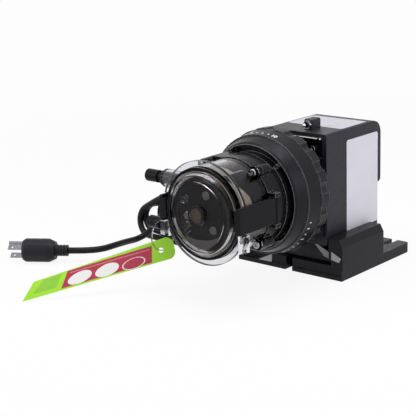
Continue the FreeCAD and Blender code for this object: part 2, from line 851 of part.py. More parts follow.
def gear_line(x_from, z_from, x_to, z_to):
    """The angle in degrees of the line between two gear axes."""
    return math.degrees(math.atan2(z_to - z_from, x_to - x_from))


def make_gears():
    first_line = gear_line(motor_x, motor_z, 0.0, reduction_z)
    second_line = gear_line(0.0, reduction_z, 0.0, axis_height)
    motor_pinion = gear(pinion_teeth, layer_one_front, layer_one_back, motor_x, motor_z,
                        motor_shaft_radius, first_line)
    reduction = gear(reduction_teeth, layer_one_front, layer_one_back, 0.0, reduction_z,
                     gear_stud_radius + shaft_gap, first_line + 180 + 180 / reduction_teeth)
    small = gear(pinion_teeth, layer_two_front, layer_one_front, 0.0, reduction_z,
                 gear_stud_radius + shaft_gap, second_line)
    output = gear(output_teeth, layer_two_front, layer_two_back, 0.0, axis_height, main_shaft_radius,
                  second_line + 180 + 180 / output_teeth)
    output = output.cut(lightening_holes())
    return motor_pinion, reduction, small, output


def lightening_holes():
    """Six round holes in the web of the output gear."""
    pitch_radius = gear_module * output_teeth / 2
    circle = (pitch_radius + main_shaft_radius) / 2
    holes = []
    for number in range(6):
        place = on_axis(30 + 60 * number, circle, 0)
        holes.append(rod(pitch_radius / 6, layer_two_front - 1, layer_two_back + 1, place.x, place.z))
    return Part.makeCompound(holes)


def make_gear_case():
    case = tube(case_radius, case_bore, case_front, housing_front)
    front = rod(case_radius, case_front, case_front + case_wall)
    case = case.fuse(front)
    shelf_front = case_front + shelf_depth
    notch = sector(case_radius + 1, case_front - 1, shelf_front, shelf_start, shelf_end)
    case = case.cut(notch.cut(rod(neck_radius, case_front - 2, shelf_front + 1)))
    shelf_outer = dial_bore - seat_gap
    shelf = sector(shelf_outer, shelf_front, shelf_front + shelf_thickness, shelf_start - shelf_wall_turn,
                   shelf_end + shelf_wall_turn)
    walls = []
    for start in (shelf_start - shelf_wall_turn, shelf_end):
        walls.append(sector(shelf_outer, case_front + 1, shelf_front + 1, start, start + shelf_wall_turn))
    rim = walls[0].fuse([walls[1], shelf]).cut(rod(case_bore + 1, case_front - 2, housing_front))
    case = case.fuse(rim)
    case = case.cut(rod(main_shaft_radius + bush_wall, case_front - 1, case_front + case_wall + 1))
    for x, z in adapter_screw_places():
        case = case.cut(rod(screw_radius, case_front - 1, case_front + case_wall + 1, x, z))
    return case.removeSplitter()


def make_case_back():
    plate = rod(case_bore - screw_gap, back_plate_front, housing_front)
    plate = plate.cut(rod(main_shaft_radius + bush_wall, back_plate_front - 1, housing_front + 1))
    plate = plate.cut(rod(motor_shaft_radius + 1, back_plate_front - 1, housing_front + 1, motor_x, motor_z))
    return plate.cut(rod(gear_stud_radius, back_plate_front - 1, housing_front + 1, 0.0, reduction_z))


def make_partition():
    plate = rod(case_bore - screw_gap, partition_front, partition_back)
    pinion_tip = gear_module * (pinion_teeth / 2 + 1)
    plate = plate.cut(rod(main_shaft_radius + 0.5, partition_front - 1, partition_back + 1))
    return plate.cut(rod(pinion_tip + 0.6, partition_front - 1, partition_back + 1, 0.0, reduction_z))


def make_gear_stud():
    return rod(gear_stud_radius, layer_two_front - 1, housing_front, 0.0, reduction_z)


def make_main_shaft():
    return rod(main_shaft_radius, cover_front + seat_gap, housing_front - seat_gap)


def make_index_plate():
    front = index_back - index_thickness
    plate = rod(index_radius, front, index_back)
    for number in range(index_notches):
        place = on_axis(number * 360 / index_notches, index_radius, 0)
        plate = plate.cut(rod(index_notch_radius, front - 1, index_back + 1, place.x, place.z))
    return plate.cut(rod(main_shaft_radius, front - 1, index_back + 1))


def make_dial_ring():
    grip_front = dial_back - grip_length
    band_front = grip_front - band_length
    bearing_front = dial_back - dial_bearing_length
    bearing_bore = case_radius + ring_gap
    ring = turned([(bearing_bore, dial_back), (grip_radius, dial_back), (grip_radius, grip_front),
                   (band_radius_back, grip_front), (band_radius_front, band_front),
                   (nose_radius_back, band_front), (nose_radius_front, dial_nose + nose_round),
                   (nose_radius_front - nose_round, dial_nose), (dial_bore, dial_nose),
                   (dial_bore, bearing_front), (bearing_bore, bearing_front)])
    scallop_circle = grip_radius + grip_lobe_radius - grip_lobe_depth
    scallops = []
    for number in range(grip_lobes):
        place = on_axis((number + 0.5) * 360 / grip_lobes, scallop_circle, 0)
        scallops.append(rod(grip_lobe_radius, grip_front, dial_back + 1, place.x, place.z))
    return ring.cut(Part.makeCompound(scallops)).removeSplitter()


def make_variable_cam():
    back = dial_back - dial_bearing_length
    front = back - cam_length
    blank = rod(dial_bore, front, back)
    inner = dial_bore - cam_wall
    bore = rod(inner, front - 1, back + 1)
    eccentric = rod(inner, front - 1, back + 1, cam_wall / 3, axis_height)
    return blank.cut(bore).cut(eccentric)


def adapter_screw_places():
    places = []
    for number in range(4):
        place = on_axis(45 + 90 * number, neck_radius - 12, 0)
        places.append((place.x, place.z))
    return places


def corner_places():
    return [on_axis(angle, corner_circle, 0) for angle in corner_angles]


def make_head_adapter():
    cup = rod(neck_radius, adapter_front, case_front)
    cup = cup.cut(rod(neck_radius - adapter_wall, adapter_front + head_floor, case_front + 1))
    for place in corner_places():
        boss = rod(corner_boss_radius, adapter_front, adapter_front + corner_boss_length, place.x, place.z)
        cup = cup.fuse(boss)
    for x, z in adapter_screw_places():
        foot_pad = rod(boss_radius, adapter_front, case_front, x, z)
        cup = cup.fuse(foot_pad.cut(rod(screw_head_radius + 1, adapter_front - 1, case_front - 4, x, z)))
        cup = cup.cut(rod(screw_radius + screw_gap, adapter_front - 1, case_front + 1, x, z))
        cup = cup.cut(rod(screw_head_radius + 1, adapter_front - 1, case_front - 4, x, z))
    ear_high = latch_width / 2 + seat_gap + latch_ear_thickness
    ear_outside = latch_x + latch_barrel_radius
    ears = box(neck_radius - 12, ear_outside, adapter_front, latch_y + latch_barrel_radius,
               axis_height - ear_high, axis_height + ear_high)
    tab = box(tab_left, tab_left + tab_width, adapter_front, case_front, axis_height + tab_low,
              axis_height + tab_rise)
    shell = both_sides(ears).fuse(tab)
    shell = shell.cut(rod(neck_radius - adapter_wall, adapter_front - 1, case_front + 1))
    cup = cup.fuse(shell)
    relief = box(latch_x - latch_barrel_radius - seat_gap, ear_outside + 1, adapter_front - 1,
                 latch_y + latch_barrel_radius + seat_gap, axis_height - latch_width / 2 - seat_gap,
                 axis_height + latch_width / 2 + seat_gap)
    pin_hole = Part.makeCylinder(latch_pin_radius, 2 * ear_high + 2,
                                 V(latch_x, latch_y, axis_height - ear_high - 1))
    cup = cup.cut(both_sides(relief.fuse(pin_hole)))
    cup = cup.cut(rod(main_shaft_radius + bush_wall, adapter_front - 1, case_front + 1))
    for place in corner_places():
        cup = cup.cut(rod(screw_radius, adapter_front - 1, adapter_front + corner_boss_length - 2,
                          place.x, place.z))
    return cup.removeSplitter()


def make_adapter_screws():
    return Part.makeCompound([screw(x, case_front - 4, z, 4 + case_wall - 0.5)
                              for x, z in adapter_screw_places()])


def port_path():
    """The tube's centre line: in at the upper port, round the right side, and out at the lower one."""
    bend_z = port_height + port_bend
    bend_x = -math.sqrt((tube_circle + port_bend) ** 2 - bend_z ** 2)
    angle = math.atan2(bend_z, bend_x)
    join = V(tube_circle * math.cos(angle), tube_y, tube_circle * math.sin(angle))
    lowest = V(bend_x, tube_y, port_height)
    half = (-math.pi / 2 + (angle - math.pi)) / 2
    between = V(bend_x + port_bend * math.cos(half), tube_y, bend_z + port_bend * math.sin(half))
    upper = [V(port_end, tube_y, port_height), lowest, between, join]
    lower = [V(point.x, point.y, -point.z) for point in upper]
    lift = V(0, 0, axis_height)
    upper = [point.add(lift) for point in upper]
    lower = [point.add(lift) for point in lower]
    edges = [Part.LineSegment(upper[0], upper[1]).toShape(),
             Part.Arc(upper[1], upper[2], upper[3]).toShape(),
             Part.Arc(upper[3], V(tube_circle, tube_y, axis_height), lower[3]).toShape(),
             Part.Arc(lower[3], lower[2], lower[1]).toShape(),
             Part.LineSegment(lower[1], lower[0]).toShape()]
    return Part.Wire(edges)


def make_tube():
    path = port_path()
    return sweep(path, tube_radius).cut(sweep(path, tube_bore))


def make_tube_housing():
    barrel = rod(head_outer, barrel_front, adapter_front)
    flange = rod(flange_radius, flange_front, barrel_front)
    housing = barrel.fuse(flange)
    for place in corner_places():
        housing = housing.fuse(rod(corner_boss_radius, adapter_front - head_boss_length, adapter_front,
                                   place.x, place.z))
    latch_half = latch_width / 2 + 1.0
    ear_top = axis_height - latch_half
    ear = box(ear_inner, ear_outer, barrel_front - ear_reach, barrel_front, ear_top - ear_length, ear_top)
    housing = housing.fuse(both_sides(ear))
    for side in (-1, 1):
        housing = housing.fuse(cross_rod(port_radius, port_end, port_start, tube_y,
                                         axis_height + side * port_height))
    housing = housing.cut(rod(head_bore, flange_front - ear_reach, head_floor_front))
    notch = box(ear_inner, flange_radius + 1, flange_front - 1, barrel_front + 1, axis_height - latch_half,
                axis_height + latch_half)
    housing = housing.cut(both_sides(notch))
    housing = housing.cut(sweep(port_path(), tube_radius + screw_gap))
    housing = housing.cut(rod(main_shaft_radius + bush_wall, head_floor_front - 1, adapter_front + 1))
    for place in corner_places():
        boss_front = adapter_front - head_boss_length
        housing = housing.cut(rod(screw_radius + screw_gap, boss_front - 1, adapter_front + 1, place.x, place.z))
        housing = housing.cut(rod(screw_head_radius + seat_gap, boss_front - screw_head_height - 1, boss_front,
                                  place.x, place.z))
    return housing.removeSplitter()


def make_head_screws():
    return Part.makeCompound([screw(place.x, adapter_front - head_boss_length, place.z,
                                    head_boss_length + corner_boss_length - 3) for place in corner_places()])


def make_head_cover():
    step = flange_front - cover_step_depth
    rim = flange_front - cover_rim_depth
    ridge = flange_front - ridge_depth
    dish = flange_front - dish_depth
    wall = cover_rim_radius - ridge_outer
    cover = turned([(0, cover_front), (hub_radius, cover_front), (hub_radius, dish), (ridge_inner, dish),
                    (ridge_inner, ridge), (ridge_outer, ridge), (cover_rim_radius, rim),
                    (cover_rim_radius, step), (cover_step_radius, step), (cover_step_radius, flange_front),
                    (head_bore - wall, flange_front), (head_bore - wall, cover_inside), (0, cover_inside)])
    cover = cover.cut(rod(main_shaft_radius + cover_bush_wall, cover_front - 1, cover_inside + 1))
    return cover.removeSplitter()


def make_cover_bush():
    return tube(main_shaft_radius + cover_bush_wall, main_shaft_radius + shaft_gap, cover_front,
                cover_inside)


def roller_places():
    return [on_axis(roller_angle - number * 360 / roller_count, roller_pitch, 0)
            for number in range(roller_count)]


def make_roller(number):
    place = roller_places()[number]
    body = rod(roller_radius, roller_front, roller_back, place.x, place.z)
    rims = [edge for edge in body.Edges if abs(edge.Length - 2 * math.pi * roller_radius) < 0.01]
    body = body.makeFillet(1.2, rims)
    return body.cut(rod(roller_pin_radius + shaft_gap, roller_front - 1, roller_back + 1, place.x, place.z))


def carrier(y_front, y_back):
    """A three-armed plate on the main shaft that holds the ends of the roller pins."""
    plate = rod(carrier_radius / 2, y_front, y_back)
    for place in roller_places():
        plate = plate.fuse(rod(carrier_radius - roller_pitch, y_front, y_back, place.x, place.z))
        arm = box(0, roller_pitch, y_front, y_back, axis_height - 4.5, axis_height + 4.5)
        arm.rotate(V(0, 0, axis_height), V(0, -1, 0), math.degrees(math.atan2(place.z - axis_height, place.x)))
        plate = plate.fuse(arm)
    for place in roller_places():
        plate = plate.cut(rod(roller_pin_radius, y_front - 1, y_back + 1, place.x, place.z))
    return plate.cut(rod(main_shaft_radius, y_front - 1, y_back + 1)).removeSplitter()


def make_front_carrier():
    """The disc that shows through the cover and holds the front ends of the roller pins."""
    back = carrier_front + carrier_thickness
    disc = rod(front_disc_radius, carrier_front, back)
    disc = disc.cut(tube(disc_groove_outer, disc_groove_inner, carrier_front - 1, carrier_front + disc_groove_depth))
    corners = []
    for number in range(6):
        place = on_axis(60 * number, disc_hub_radius, 0)
        corners.append((place.x, place.z))
    disc = disc.fuse(prism_y(corners, carrier_front - disc_hub_height, carrier_front + 1))
    for place in roller_places():
        disc = disc.cut(rod(roller_pin_radius, carrier_front - 1, back + 1, place.x, place.z))
    disc = disc.cut(rod(main_shaft_radius, carrier_front - disc_hub_height - 1, back + 1))
    return disc.removeSplitter()


def make_roller_pins():
    return Part.makeCompound([rod(roller_pin_radius, carrier_front - 0.5, rear_carrier_front + carrier_thickness,
                                  place.x, place.z) for place in roller_places()])


def make_ferrules():
    group = []
    for side in (-1, 1):
        z = axis_height + side * port_height
        flange_end = port_end - ferrule_flange
        group.append(turned_x([(ferrule_bore, port_end), (ferrule_flange_radius, port_end),
                               (ferrule_flange_radius, flange_end), (ferrule_neck_radius, flange_end),
                               (ferrule_neck_radius, flange_end - ferrule_neck),
                               (ferrule_bore, flange_end - ferrule_neck)], tube_y, z))
    return Part.makeCompound(group)


def make_nut(side):
    z = axis_height + side * port_height
    end = nut_start - nut_length
    socket = port_end - ferrule_flange - ferrule_neck
    body = Part.makeCylinder(nut_radius, nut_length, V(end, tube_y, z), ALONG_X)
    rims = [edge for edge in body.Edges if abs(edge.Length - 2 * math.pi * nut_radius) < 0.01]
    body = body.makeFillet(0.8, rims)
    body = body.cut(cross_rod(tube_bore, end - 1, nut_start + 1, tube_y, z))
    return body.cut(cross_rod(ferrule_neck_radius + screw_gap, socket, nut_start + 1, tube_y, z))


def make_latch():
    half = latch_width / 2
    low = axis_height - half
    high = axis_height + half
    outer = latch_inner + latch_thickness
    hook_front = latch_hook_back - latch_hook_thickness
    plate = box(latch_inner, outer, hook_front, latch_y, low, high)
    hook = box(latch_inner - latch_hook_reach, outer, hook_front, latch_hook_back, low + latch_hook_trim,
               high - latch_hook_trim)
    barrel = Part.makeCylinder(latch_barrel_radius, latch_width, V(latch_x, latch_y, low))
    latch = plate.fuse([hook, barrel])
    outer_edges = []
    for edge in latch.Edges:
        middle = edge.CenterOfMass
        long_edge = abs(middle.x - outer) < 0.01 and abs(edge.Length) > latch_width
        if long_edge and (abs(middle.z - low) < 0.01 or abs(middle.z - high) < 0.01):
            outer_edges.append(edge)
    if outer_edges:
        latch = latch.makeFillet(1.2, outer_edges)
    hole = Part.makeCylinder(latch_pin_radius + shaft_gap, latch_width + 2, V(latch_x, latch_y, low - 1))
    return latch.cut(hole)


def make_latch_pins():
    ear_high = latch_width / 2 + seat_gap + latch_ear_thickness
    pin = Part.makeCylinder(latch_pin_radius, 2 * ear_high, V(latch_x, latch_y, axis_height - ear_high))
    return Part.makeCompound([pin, pin.mirror(V(0, 0, 0), ALONG_X)])


def make_strain_relief():
    start = -housing_left
    end = start - relief_length
    return turned_x([(0, start), (relief_flange_radius, start), (relief_flange_radius, start - relief_flange),
                     (relief_big_radius, start - relief_flange), (relief_small_radius, end), (0, end)],
                    cord_exit_y, cord_exit_height)


def make_hank():
    """The standing bundle of cord, as one solid with two round ends."""
    left = V(hank_left_x, 0, hank_floor + hank_left_radius)
    right = V(hank_right_x, 0, hank_floor + hank_right_radius)
    slope = 2 * math.atan2(right.z - left.z, right.x - left.x)
    upward = V(-math.sin(slope), 0, math.cos(slope))
    left_top = left.add(upward * hank_left_radius)
    right_top = right.add(upward * hank_right_radius)
    core = prism_y([(left.x, left.z), (left.x, hank_floor), (right.x, hank_floor), (right.x, right.z),
                    (right_top.x, right_top.z), (left_top.x, left_top.z)], hank_front, hank_back)
    ends = [rod(hank_left_radius, hank_front, hank_back, left.x, left.z),
            rod(hank_right_radius, hank_front, hank_back, right.x, right.z)]
    return core.fuse(ends).removeSplitter()


def plug_frame(shape):
    """Places a plug piece that was drawn along +X with its axis at the origin."""
    placed = shape.copy()
    placed.rotate(V(0, 0, 0), ALONG_X, plug_roll)
    placed.rotate(V(0, 0, 0), ALONG_Z, math.degrees(math.atan2(plug_heading[1], plug_heading[0])))
    placed.translate(V(*plug_start))
    return placed


def make_plug_body():
    shoulder_end = plug_relief_length + plug_shoulder_length
    body_end = shoulder_end + plug_body_length
    relief = turned_x([(0, 0), (plug_relief_radius, 0), (plug_relief_radius, plug_relief_length),
                       (0, plug_relief_length)], 0, 0)
    inner = plug_relief_radius - plug_rib_depth
    outer = plug_relief_radius + plug_rib_depth
    for number in range(3):
        start = (number + 0.6) * plug_relief_length / 4
        stop = start + plug_rib_gap
        relief = relief.cut(turned_x([(inner, start), (outer, start), (outer, stop), (inner, stop)], 0, 0))
    block = turned_x([(0, plug_relief_length), (plug_shoulder_radius, plug_relief_length),
                      (plug_body_radius, shoulder_end), (plug_body_radius, body_end - plug_nose_taper),
                      (plug_body_radius - plug_nose_drop, body_end), (0, body_end)], 0, 0)
    block = block.common(box(0, body_end + 1, -plug_flat, plug_flat, -plug_flat, plug_flat))
    return plug_frame(relief.fuse(block).removeSplitter())


def make_plug_blades():
    start = plug_relief_length + plug_shoulder_length + plug_body_length
    tip = start + blade_length
    pieces = []
    for side in (-1, 1):
        y = side * blade_spacing / 2
        blade = box(start, tip, y - blade_thickness / 2, y + blade_thickness / 2,
                    -blade_drop - blade_width / 2, -blade_drop + blade_width / 2)
        hole = Part.makeCylinder(blade_hole_radius, 4 * blade_thickness,
                                 V(tip - blade_hole_inset, y - 2 * blade_thickness, -blade_drop), ALONG_Y)
        pieces.append(blade.cut(hole))
    pieces.append(cross_rod(ground_radius, start, tip + ground_extra, 0, ground_rise))
    return Part.makeCompound([plug_frame(piece) for piece in pieces])


def tag_section(middle, edge, along):
    """The rectangle across the tag at one of its ends."""
    across = V(*edge).normalize() * (tag_width / 2)
    thick = across.cross(along).normalize() * (tag_thickness / 2)
    centre = V(*middle)
    corners = [centre.add(across).add(thick), centre.add(across).sub(thick),
               centre.sub(across).sub(thick), centre.sub(across).add(thick)]
    return Part.makePolygon(corners + [corners[0]])


def tag_direction():
    return V(*tag_high_end).sub(V(*tag_low_end)).normalize()


def tag_hole_place():
    return V(*tag_high_end).sub(tag_direction() * tag_hole_inset)


def make_hang_tag():
    along = tag_direction()
    sections = [tag_section(tag_low_end, tag_low_edge, along), tag_section(tag_high_end, tag_high_edge, along)]
    strip = Part.makeLoft(sections, True, True)
    upward = V(*tag_high_edge).normalize()
    normal = upward.cross(along).normalize()
    place = tag_hole_place()
    strip = strip.cut(Part.makeCylinder(tag_hole_radius, 10, place.sub(normal * 5), normal))
    for side in (-1, 1):
        corner = V(*tag_high_end).add(upward * (side * tag_width / 2))
        middle = corner.sub(along * tag_end_round).sub(upward * (side * tag_end_round))
        outside = [middle, middle.add(along * 2 * tag_end_round),
                   middle.add(along * 2 * tag_end_round).add(upward * (2 * side * tag_end_round)),
                   middle.add(upward * (2 * side * tag_end_round))]
        offcut = prism([point.sub(normal * 5) for point in outside], normal * 10)
        strip = strip.cut(offcut.cut(Part.makeCylinder(tag_end_round, 12, middle.sub(normal * 6), normal)))
    return strip


def make_tag_tie():
    """A wire ring that goes round the lower fitting's neck and through the hole in the tag."""
    hole = tag_hole_place()
    neck = V(hole.x, tube_y, axis_height - port_height)
    span = neck.sub(hole)
    radius = (span.Length + ferrule_neck_radius + tie_radius + seat_gap) / 2
    centre = hole.add(span.normalize() * radius)
    return Part.makeTorus(radius, tie_radius, centre, ALONG_X)


motor_pinion, reduction_gear, reduction_pinion, output_gear = make_gears()
right_latch = make_latch()
hank = make_hank()
cord_exit = (-housing_left - relief_length, cord_exit_y, cord_exit_height)
run_points = [cord_exit] + cord_run + [(cord_run_end[0], hank_back, cord_run_end[1])]
lead_points = [cord_lead_start] + cord_lead + [plug_start]

nodes = {
    "mounting_bracket": make_bracket(),
    "motor_housing": make_motor_housing(),
    "rear_cover": make_rear_cover(),
    "cover_screws": make_cover_screws(),
    "fascia_screw": make_fascia_screw(),
    "switch_block": make_switch_block(),
    "switch_lever": make_switch_lever(),
    "stator_laminations": make_stator(),
    "stator_coil": make_coil(),
    "front_motor_bracket": motor_bracket(stator_front, -1),
    "rear_motor_bracket": motor_bracket(stator_back, 1),
    "motor_studs": make_studs(),
    "shaft_bushes": make_bushes(),
    "rotor": make_rotor(),
    "rotor_shaft": make_rotor_shaft(),
    "cooling_fan": make_fan(),
    "motor_pinion": motor_pinion,
    "reduction_gear": reduction_gear,
    "reduction_pinion": reduction_pinion,
    "output_gear": output_gear,
    "gear_stud": make_gear_stud(),
    "gear_case": make_gear_case(),
    "gear_case_back": make_case_back(),
    "gear_partition": make_partition(),
    "main_shaft": make_main_shaft(),
    "index_plate": make_index_plate(),
    "dial_ring": make_dial_ring(),
    "variable_cam": make_variable_cam(),
    "head_adapter": make_head_adapter(),
    "adapter_screws": make_adapter_screws(),
    "tube_housing": make_tube_housing(),
    "head_screws": make_head_screws(),
    "head_cover": make_head_cover(),
    "cover_bush": make_cover_bush(),
    "front_roller_carrier": make_front_carrier(),
    "rear_roller_carrier": carrier(rear_carrier_front, rear_carrier_front + carrier_thickness),
    "roller_pins": make_roller_pins(),
    "peristaltic_tube": make_tube(),
    "tube_ferrules": make_ferrules(),
    "suction_nut": make_nut(1),
    "discharge_nut": make_nut(-1),
    "right_latch": right_latch,
    "left_latch": right_latch.mirror(V(0, 0, 0), ALONG_X),
    "latch_pins": make_latch_pins(),
    "strain_relief": make_strain_relief(),
    "cord_run": cord_tube("cord run", run_points),
    "cord_hank": hank,
    "cord_lead": cord_tube("cord lead", lead_points).cut(hank),
    "plug_body": make_plug_body(),
    "plug_blades": make_plug_blades(),
    "hang_tag": make_hang_tag(),
    "tag_tie": make_tag_tie(),
}
for number in range(roller_count):
    nodes["roller_" + str(number + 1)] = make_roller(number)

for name, shape in nodes.items():
    save(name, shape)
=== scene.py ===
import math

import bmesh
import bpy
from mathutils import Matrix, Vector


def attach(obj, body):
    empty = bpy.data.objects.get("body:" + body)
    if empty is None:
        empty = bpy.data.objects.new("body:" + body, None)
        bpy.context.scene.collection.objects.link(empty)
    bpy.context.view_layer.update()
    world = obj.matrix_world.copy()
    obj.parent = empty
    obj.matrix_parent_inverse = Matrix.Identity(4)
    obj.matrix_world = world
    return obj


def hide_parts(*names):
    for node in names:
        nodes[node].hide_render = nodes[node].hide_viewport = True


# The looks of an adjustable peristaltic metering pump. Metres, +Z up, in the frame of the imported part.

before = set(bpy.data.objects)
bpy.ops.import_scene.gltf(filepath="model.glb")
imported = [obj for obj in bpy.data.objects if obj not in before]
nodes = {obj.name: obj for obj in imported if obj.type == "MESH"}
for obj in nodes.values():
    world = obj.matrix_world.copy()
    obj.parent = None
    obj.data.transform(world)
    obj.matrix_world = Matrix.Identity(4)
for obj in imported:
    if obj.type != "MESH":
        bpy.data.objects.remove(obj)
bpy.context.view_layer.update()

MM = 0.001

# Camera, at the photograph's viewing angle
VIEW_AZIMUTH = 41.356
VIEW_ELEVATION = 15.058
VIEW_ROLL = -1.901
CAMERA_PLACE = (0.73385, -1.02179, 0.39415)
LENS = 104.4
SENSOR = 36.0

# The background's white, just under full, the soft light from all round, and the lamps, each with its
# place, the point that it aims at, its size and its power
WHITE = (0.985, 0.985, 0.985, 1)
SOFT_LIGHT = (0.985, 0.99, 1.0, 1)
SOFT_STRENGTH = 0.5
LAMPS = [("overhead", (0.05, -0.15, 1.2), (0.0, -0.05, 0.1), (1.0, 0.7), 9.0),
         ("front_left", (-0.75, -1.25, 0.75), (-0.02, -0.12, 0.09), (0.5, 0.5), 5.0),
         ("right", (1.4, -0.1, 0.7), (0.03, 0.0, 0.09), (0.5, 0.8), 4.0)]

# The floor: its colour, its half width in millimetres, the distances from the middle, in metres, between
# which its share of plain white grows, and that share at each of them
FLOOR_COLOUR = (0.93, 0.93, 0.93)
FLOOR_HALF = 6000.0
FLOOR_FADE = (0.2, 1.2)
FLOOR_SHARE = (0.9, 1.0)

# The surfaces: the tint of the plastics' sheen, the scales of the noises in waves per metre, and the
# height in millimetres and the strength of the moulded grain and of the ripple in the clear plastic
SHEEN = (0.90, 0.87, 1.0, 1)
GLOSS_WAVES = 160.0
GLOSS_SPREAD = 0.06
SHADE_WAVES = 45.0
GRAIN_WAVES = 1400.0
RUBBER_WAVES = 900.0
GRAIN_HEIGHT = 0.02
GRAIN_STRENGTH = 0.3
RIPPLE_WAVES = 60.0
RIPPLE_HEIGHT = 0.2
RIPPLE_STRENGTH = 0.15

# Painted highlights lie where an edge's softened normal leaves the face's own: their product, from full
# to none
EDGE_HIGHLIGHT_SPAN = (0.80, 0.97)

# Sizes that the looks share with the part, in millimetres: of the housing and its foot, the bracket's
# right rail, the switch's bush, the clear head, and the circle and first angle of the three roller pins
AXIS_HEIGHT = 91.4
HOUSING_RIGHT = 48.5
HOUSING_TOP = 149.5
FOOT_FRONT = -53.0
RAIL_FRONT = -62.0
SWITCH_BUSH = (17.0, -50.0, 154.75)
FLANGE_BACK = -191.0
COVER_INSIDE = -200.6
PIN_CIRCLE = 19.5
PIN_ANGLE = 73.0
ROLLERS = 3

# The sloping face of the bracket's left gusset: the y and z of its foot, how far it leans back for each
# millimetre of height, and its way outward
GUSSET_FOOT = (-63.5, 4.4)
GUSSET_LEAN = 0.78
GUSSET_OUTWARD = (-0.79, 0.61)

# The radius just inside the clear wall that the pressed tube reaches, and how far thin pieces stand off
# it and off the clear flange
INSIDE_WALL_RADIUS = 41.0
WALL_GAP = 0.05
FLANGE_GAP = 0.1

# The peristaltic tube: its middle, its ports and bends, and its section. It lies flat against the wall
# up to one angle from the right, and is round again from the other on
TUBE_Y = -180.0
TUBE_CIRCLE = 34.65
TUBE_RADIUS = 6.35
PORT_HEIGHT = 24.0
PORT_BEND = 15.0
PORT_END = -60.0
FLAT_UP_TO = 70.0
ROUND_FROM = 115.0
FLAT_HALF = 2.9
FLAT_WIDE = 12.8
FLAT_FORWARD = 1.8
TUBE_SQUARENESS = 0.9
SMOKY_END_X = -37.0

# Behind the clear wall, the lining, two dark strips that are painted shade lines over the tube, and a
# pale rim that is a painted highlight along the lining's edge: corners of the front edge, each an angle
# and a y, and the y of the back edge
LINING_FRONT = [(15.0, -167.5), (19.0, -169.0), (57.0, -190.0), (62.0, -190.6)]
LINING_BACK = -153.4
SHADE_LINE_1_FRONT = [(16.0, -191.4), (50.0, -191.4)]
SHADE_LINE_1_BACK = -190.7
SHADE_LINE_2_FRONT = [(16.0, -187.9), (41.0, -188.3)]
SHADE_LINE_2_BACK = -187.2
LINING_HIGHLIGHT_FRONT = [(61.0, -190.0), (62.4, -190.0)]
LINING_HIGHLIGHT_BACK = -160.0
BAND_STEPS = 24

# The tube's edge behind the flange: its angles, and its inner and outer radius at each end
TUBE_EDGE_SPAN = (16.5, 56.0)
TUBE_EDGE_INNER = (46.0, 49.6)
TUBE_EDGE_OUTER = (50.6, 50.0)
TUBE_EDGE_STEPS = 20

# The ribs inside the clear cover: angle, inner and outer radius, and depth
COVER_RIBS = [(137.0, 21.0, 25.0, 2.6), (147.0, 19.0, 27.0, 2.6), (157.0, 22.0, 25.5, 2.2),
              (209.0, 19.0, 25.0, 2.6), (216.0, 17.0, 29.0, 2.8), (224.0, 18.0, 32.0, 2.8),
              (233.0, 23.0, 32.0, 2.6)]
RIB_HALF_AT_FOOT = 0.6
RIB_HALF_AT_TIP = 0.35

# The pale crescent low inside the cover, a painted reflection: its angles, the radius of its middle and
# its half width
REFLECTION_SPAN = (228.0, 322.0)
REFLECTION_RADIUS = 29.5
REFLECTION_HALF = 4.6
REFLECTION_TIP_HALF = 0.05

# The washer on a roller pin, as radius and y, and the switch's nut, as radius and distance in front
PIN_CAP = [(4.2, -196.0), (4.2, -196.6), (3.4, -197.0), (2.4, -197.0), (2.1, -196.7), (1.4, -197.2)]
SWITCH_NUT = [(4.7, 2.2), (3.2, 2.2), (3.2, 0.0), (4.7, 0.0)]

# Beads about the axis: y, radius, half width, start and sweep in degrees. BEAD_STEP is in degrees too
# Painted shade lines along the clear flange's rim
RIM_SHADE_LINES = [(y, 51.1, 0.28, start, 136.0) for y in (-194.9, -191.1) for start in (22.0, 202.0)]
# Painted highlights along the dial's edges
RING_HIGHLIGHTS = [(-122.0, 53.3, 0.36, 0.0, 360), (-108.0, 60.9, 0.3, 0.0, 360)]
# A painted highlight along the upper edge of the case
CASE_HIGHLIGHTS = [(-127.7, 44.9, 0.36, 52.0, 60.0)]
BEAD_STEP = 3

# The pale bead over the opening in the housing's front, a painted highlight on its lip: its y and z, and
# each bead's ends and half width
LIP_HIGHLIGHT_PLACE = (-64.0, 144.8)
LIP_HIGHLIGHT_BEADS = [(5.0, 38.5, 0.62), (41.0, 43.0, 1.0)]

# The painted lit faces in front, lighter where light falls on them, as x and z of their corners
GUSSET_LIT_FACET = [(-40.0, 4.7), (-23.2, 4.7), (-23.2, 12.8)]
RAIL_LIT_FACET = [(53.6, 20.6), (63.1, 18.9), (65.6, 23.6), (53.6, 29.0)]
FOOT_LIT_FACET = [(38.1, 19.5), (50.0, 16.5), (50.0, 22.3), (24.3, 33.3)]

# The dial's band, which widens to the back, and its scale: the number 10 stands at this angle, and the
# numbers fall anticlockwise, with small marks between them
BAND_BACK = -91.0
BAND_RADIUS_BACK = 63.6
BAND_SLOPE = 2.6 / 17
MARK_Y = -102.5
SCALE_TEN = 76.5
NUMBERS = 10
NUMBER_STEP = 27.0
NUMBER_SIZE = 6.4
NUMBER_HALF_DEPTH = 0.08
NUMBER_WEIGHT = 0.12
MARKS_PER_NUMBER = 4
MARK_HALF_WIDTH = 0.5
MARK_HALF_LENGTH = 1.0
MIDDLE_MARK_HALF_LENGTH = 1.5
MARK_HALF_DEPTH = 0.1

# The labels: the middle and the half sizes of each, and their shared corner radius and thickness
SIDE_LABEL_MIDDLE = (1.5, 89.0)
SIDE_LABEL_HALF = (28.5, 48.5)
TOP_LABEL_MIDDLE = (11.0, -8.0)
TOP_LABEL_HALF = (34.0, 23.0)
LABEL_CORNER = 3.0
LABEL_THICKNESS = 0.25

# The tag: the middle of each end, the direction across it there, and its half width and half thickness
TAG_LOW_END = (-150.4, -290.9, 9.6)
TAG_HIGH_END = (-57.5, -175.9, 44.3)
TAG_LOW_EDGE = (4.7, 13.8, 19.5)
TAG_HIGH_EDGE = (-5.0, 0.0, 21.1)
TAG_HALF_WIDTH = 11.3
TAG_HALF_THICKNESS = 0.3

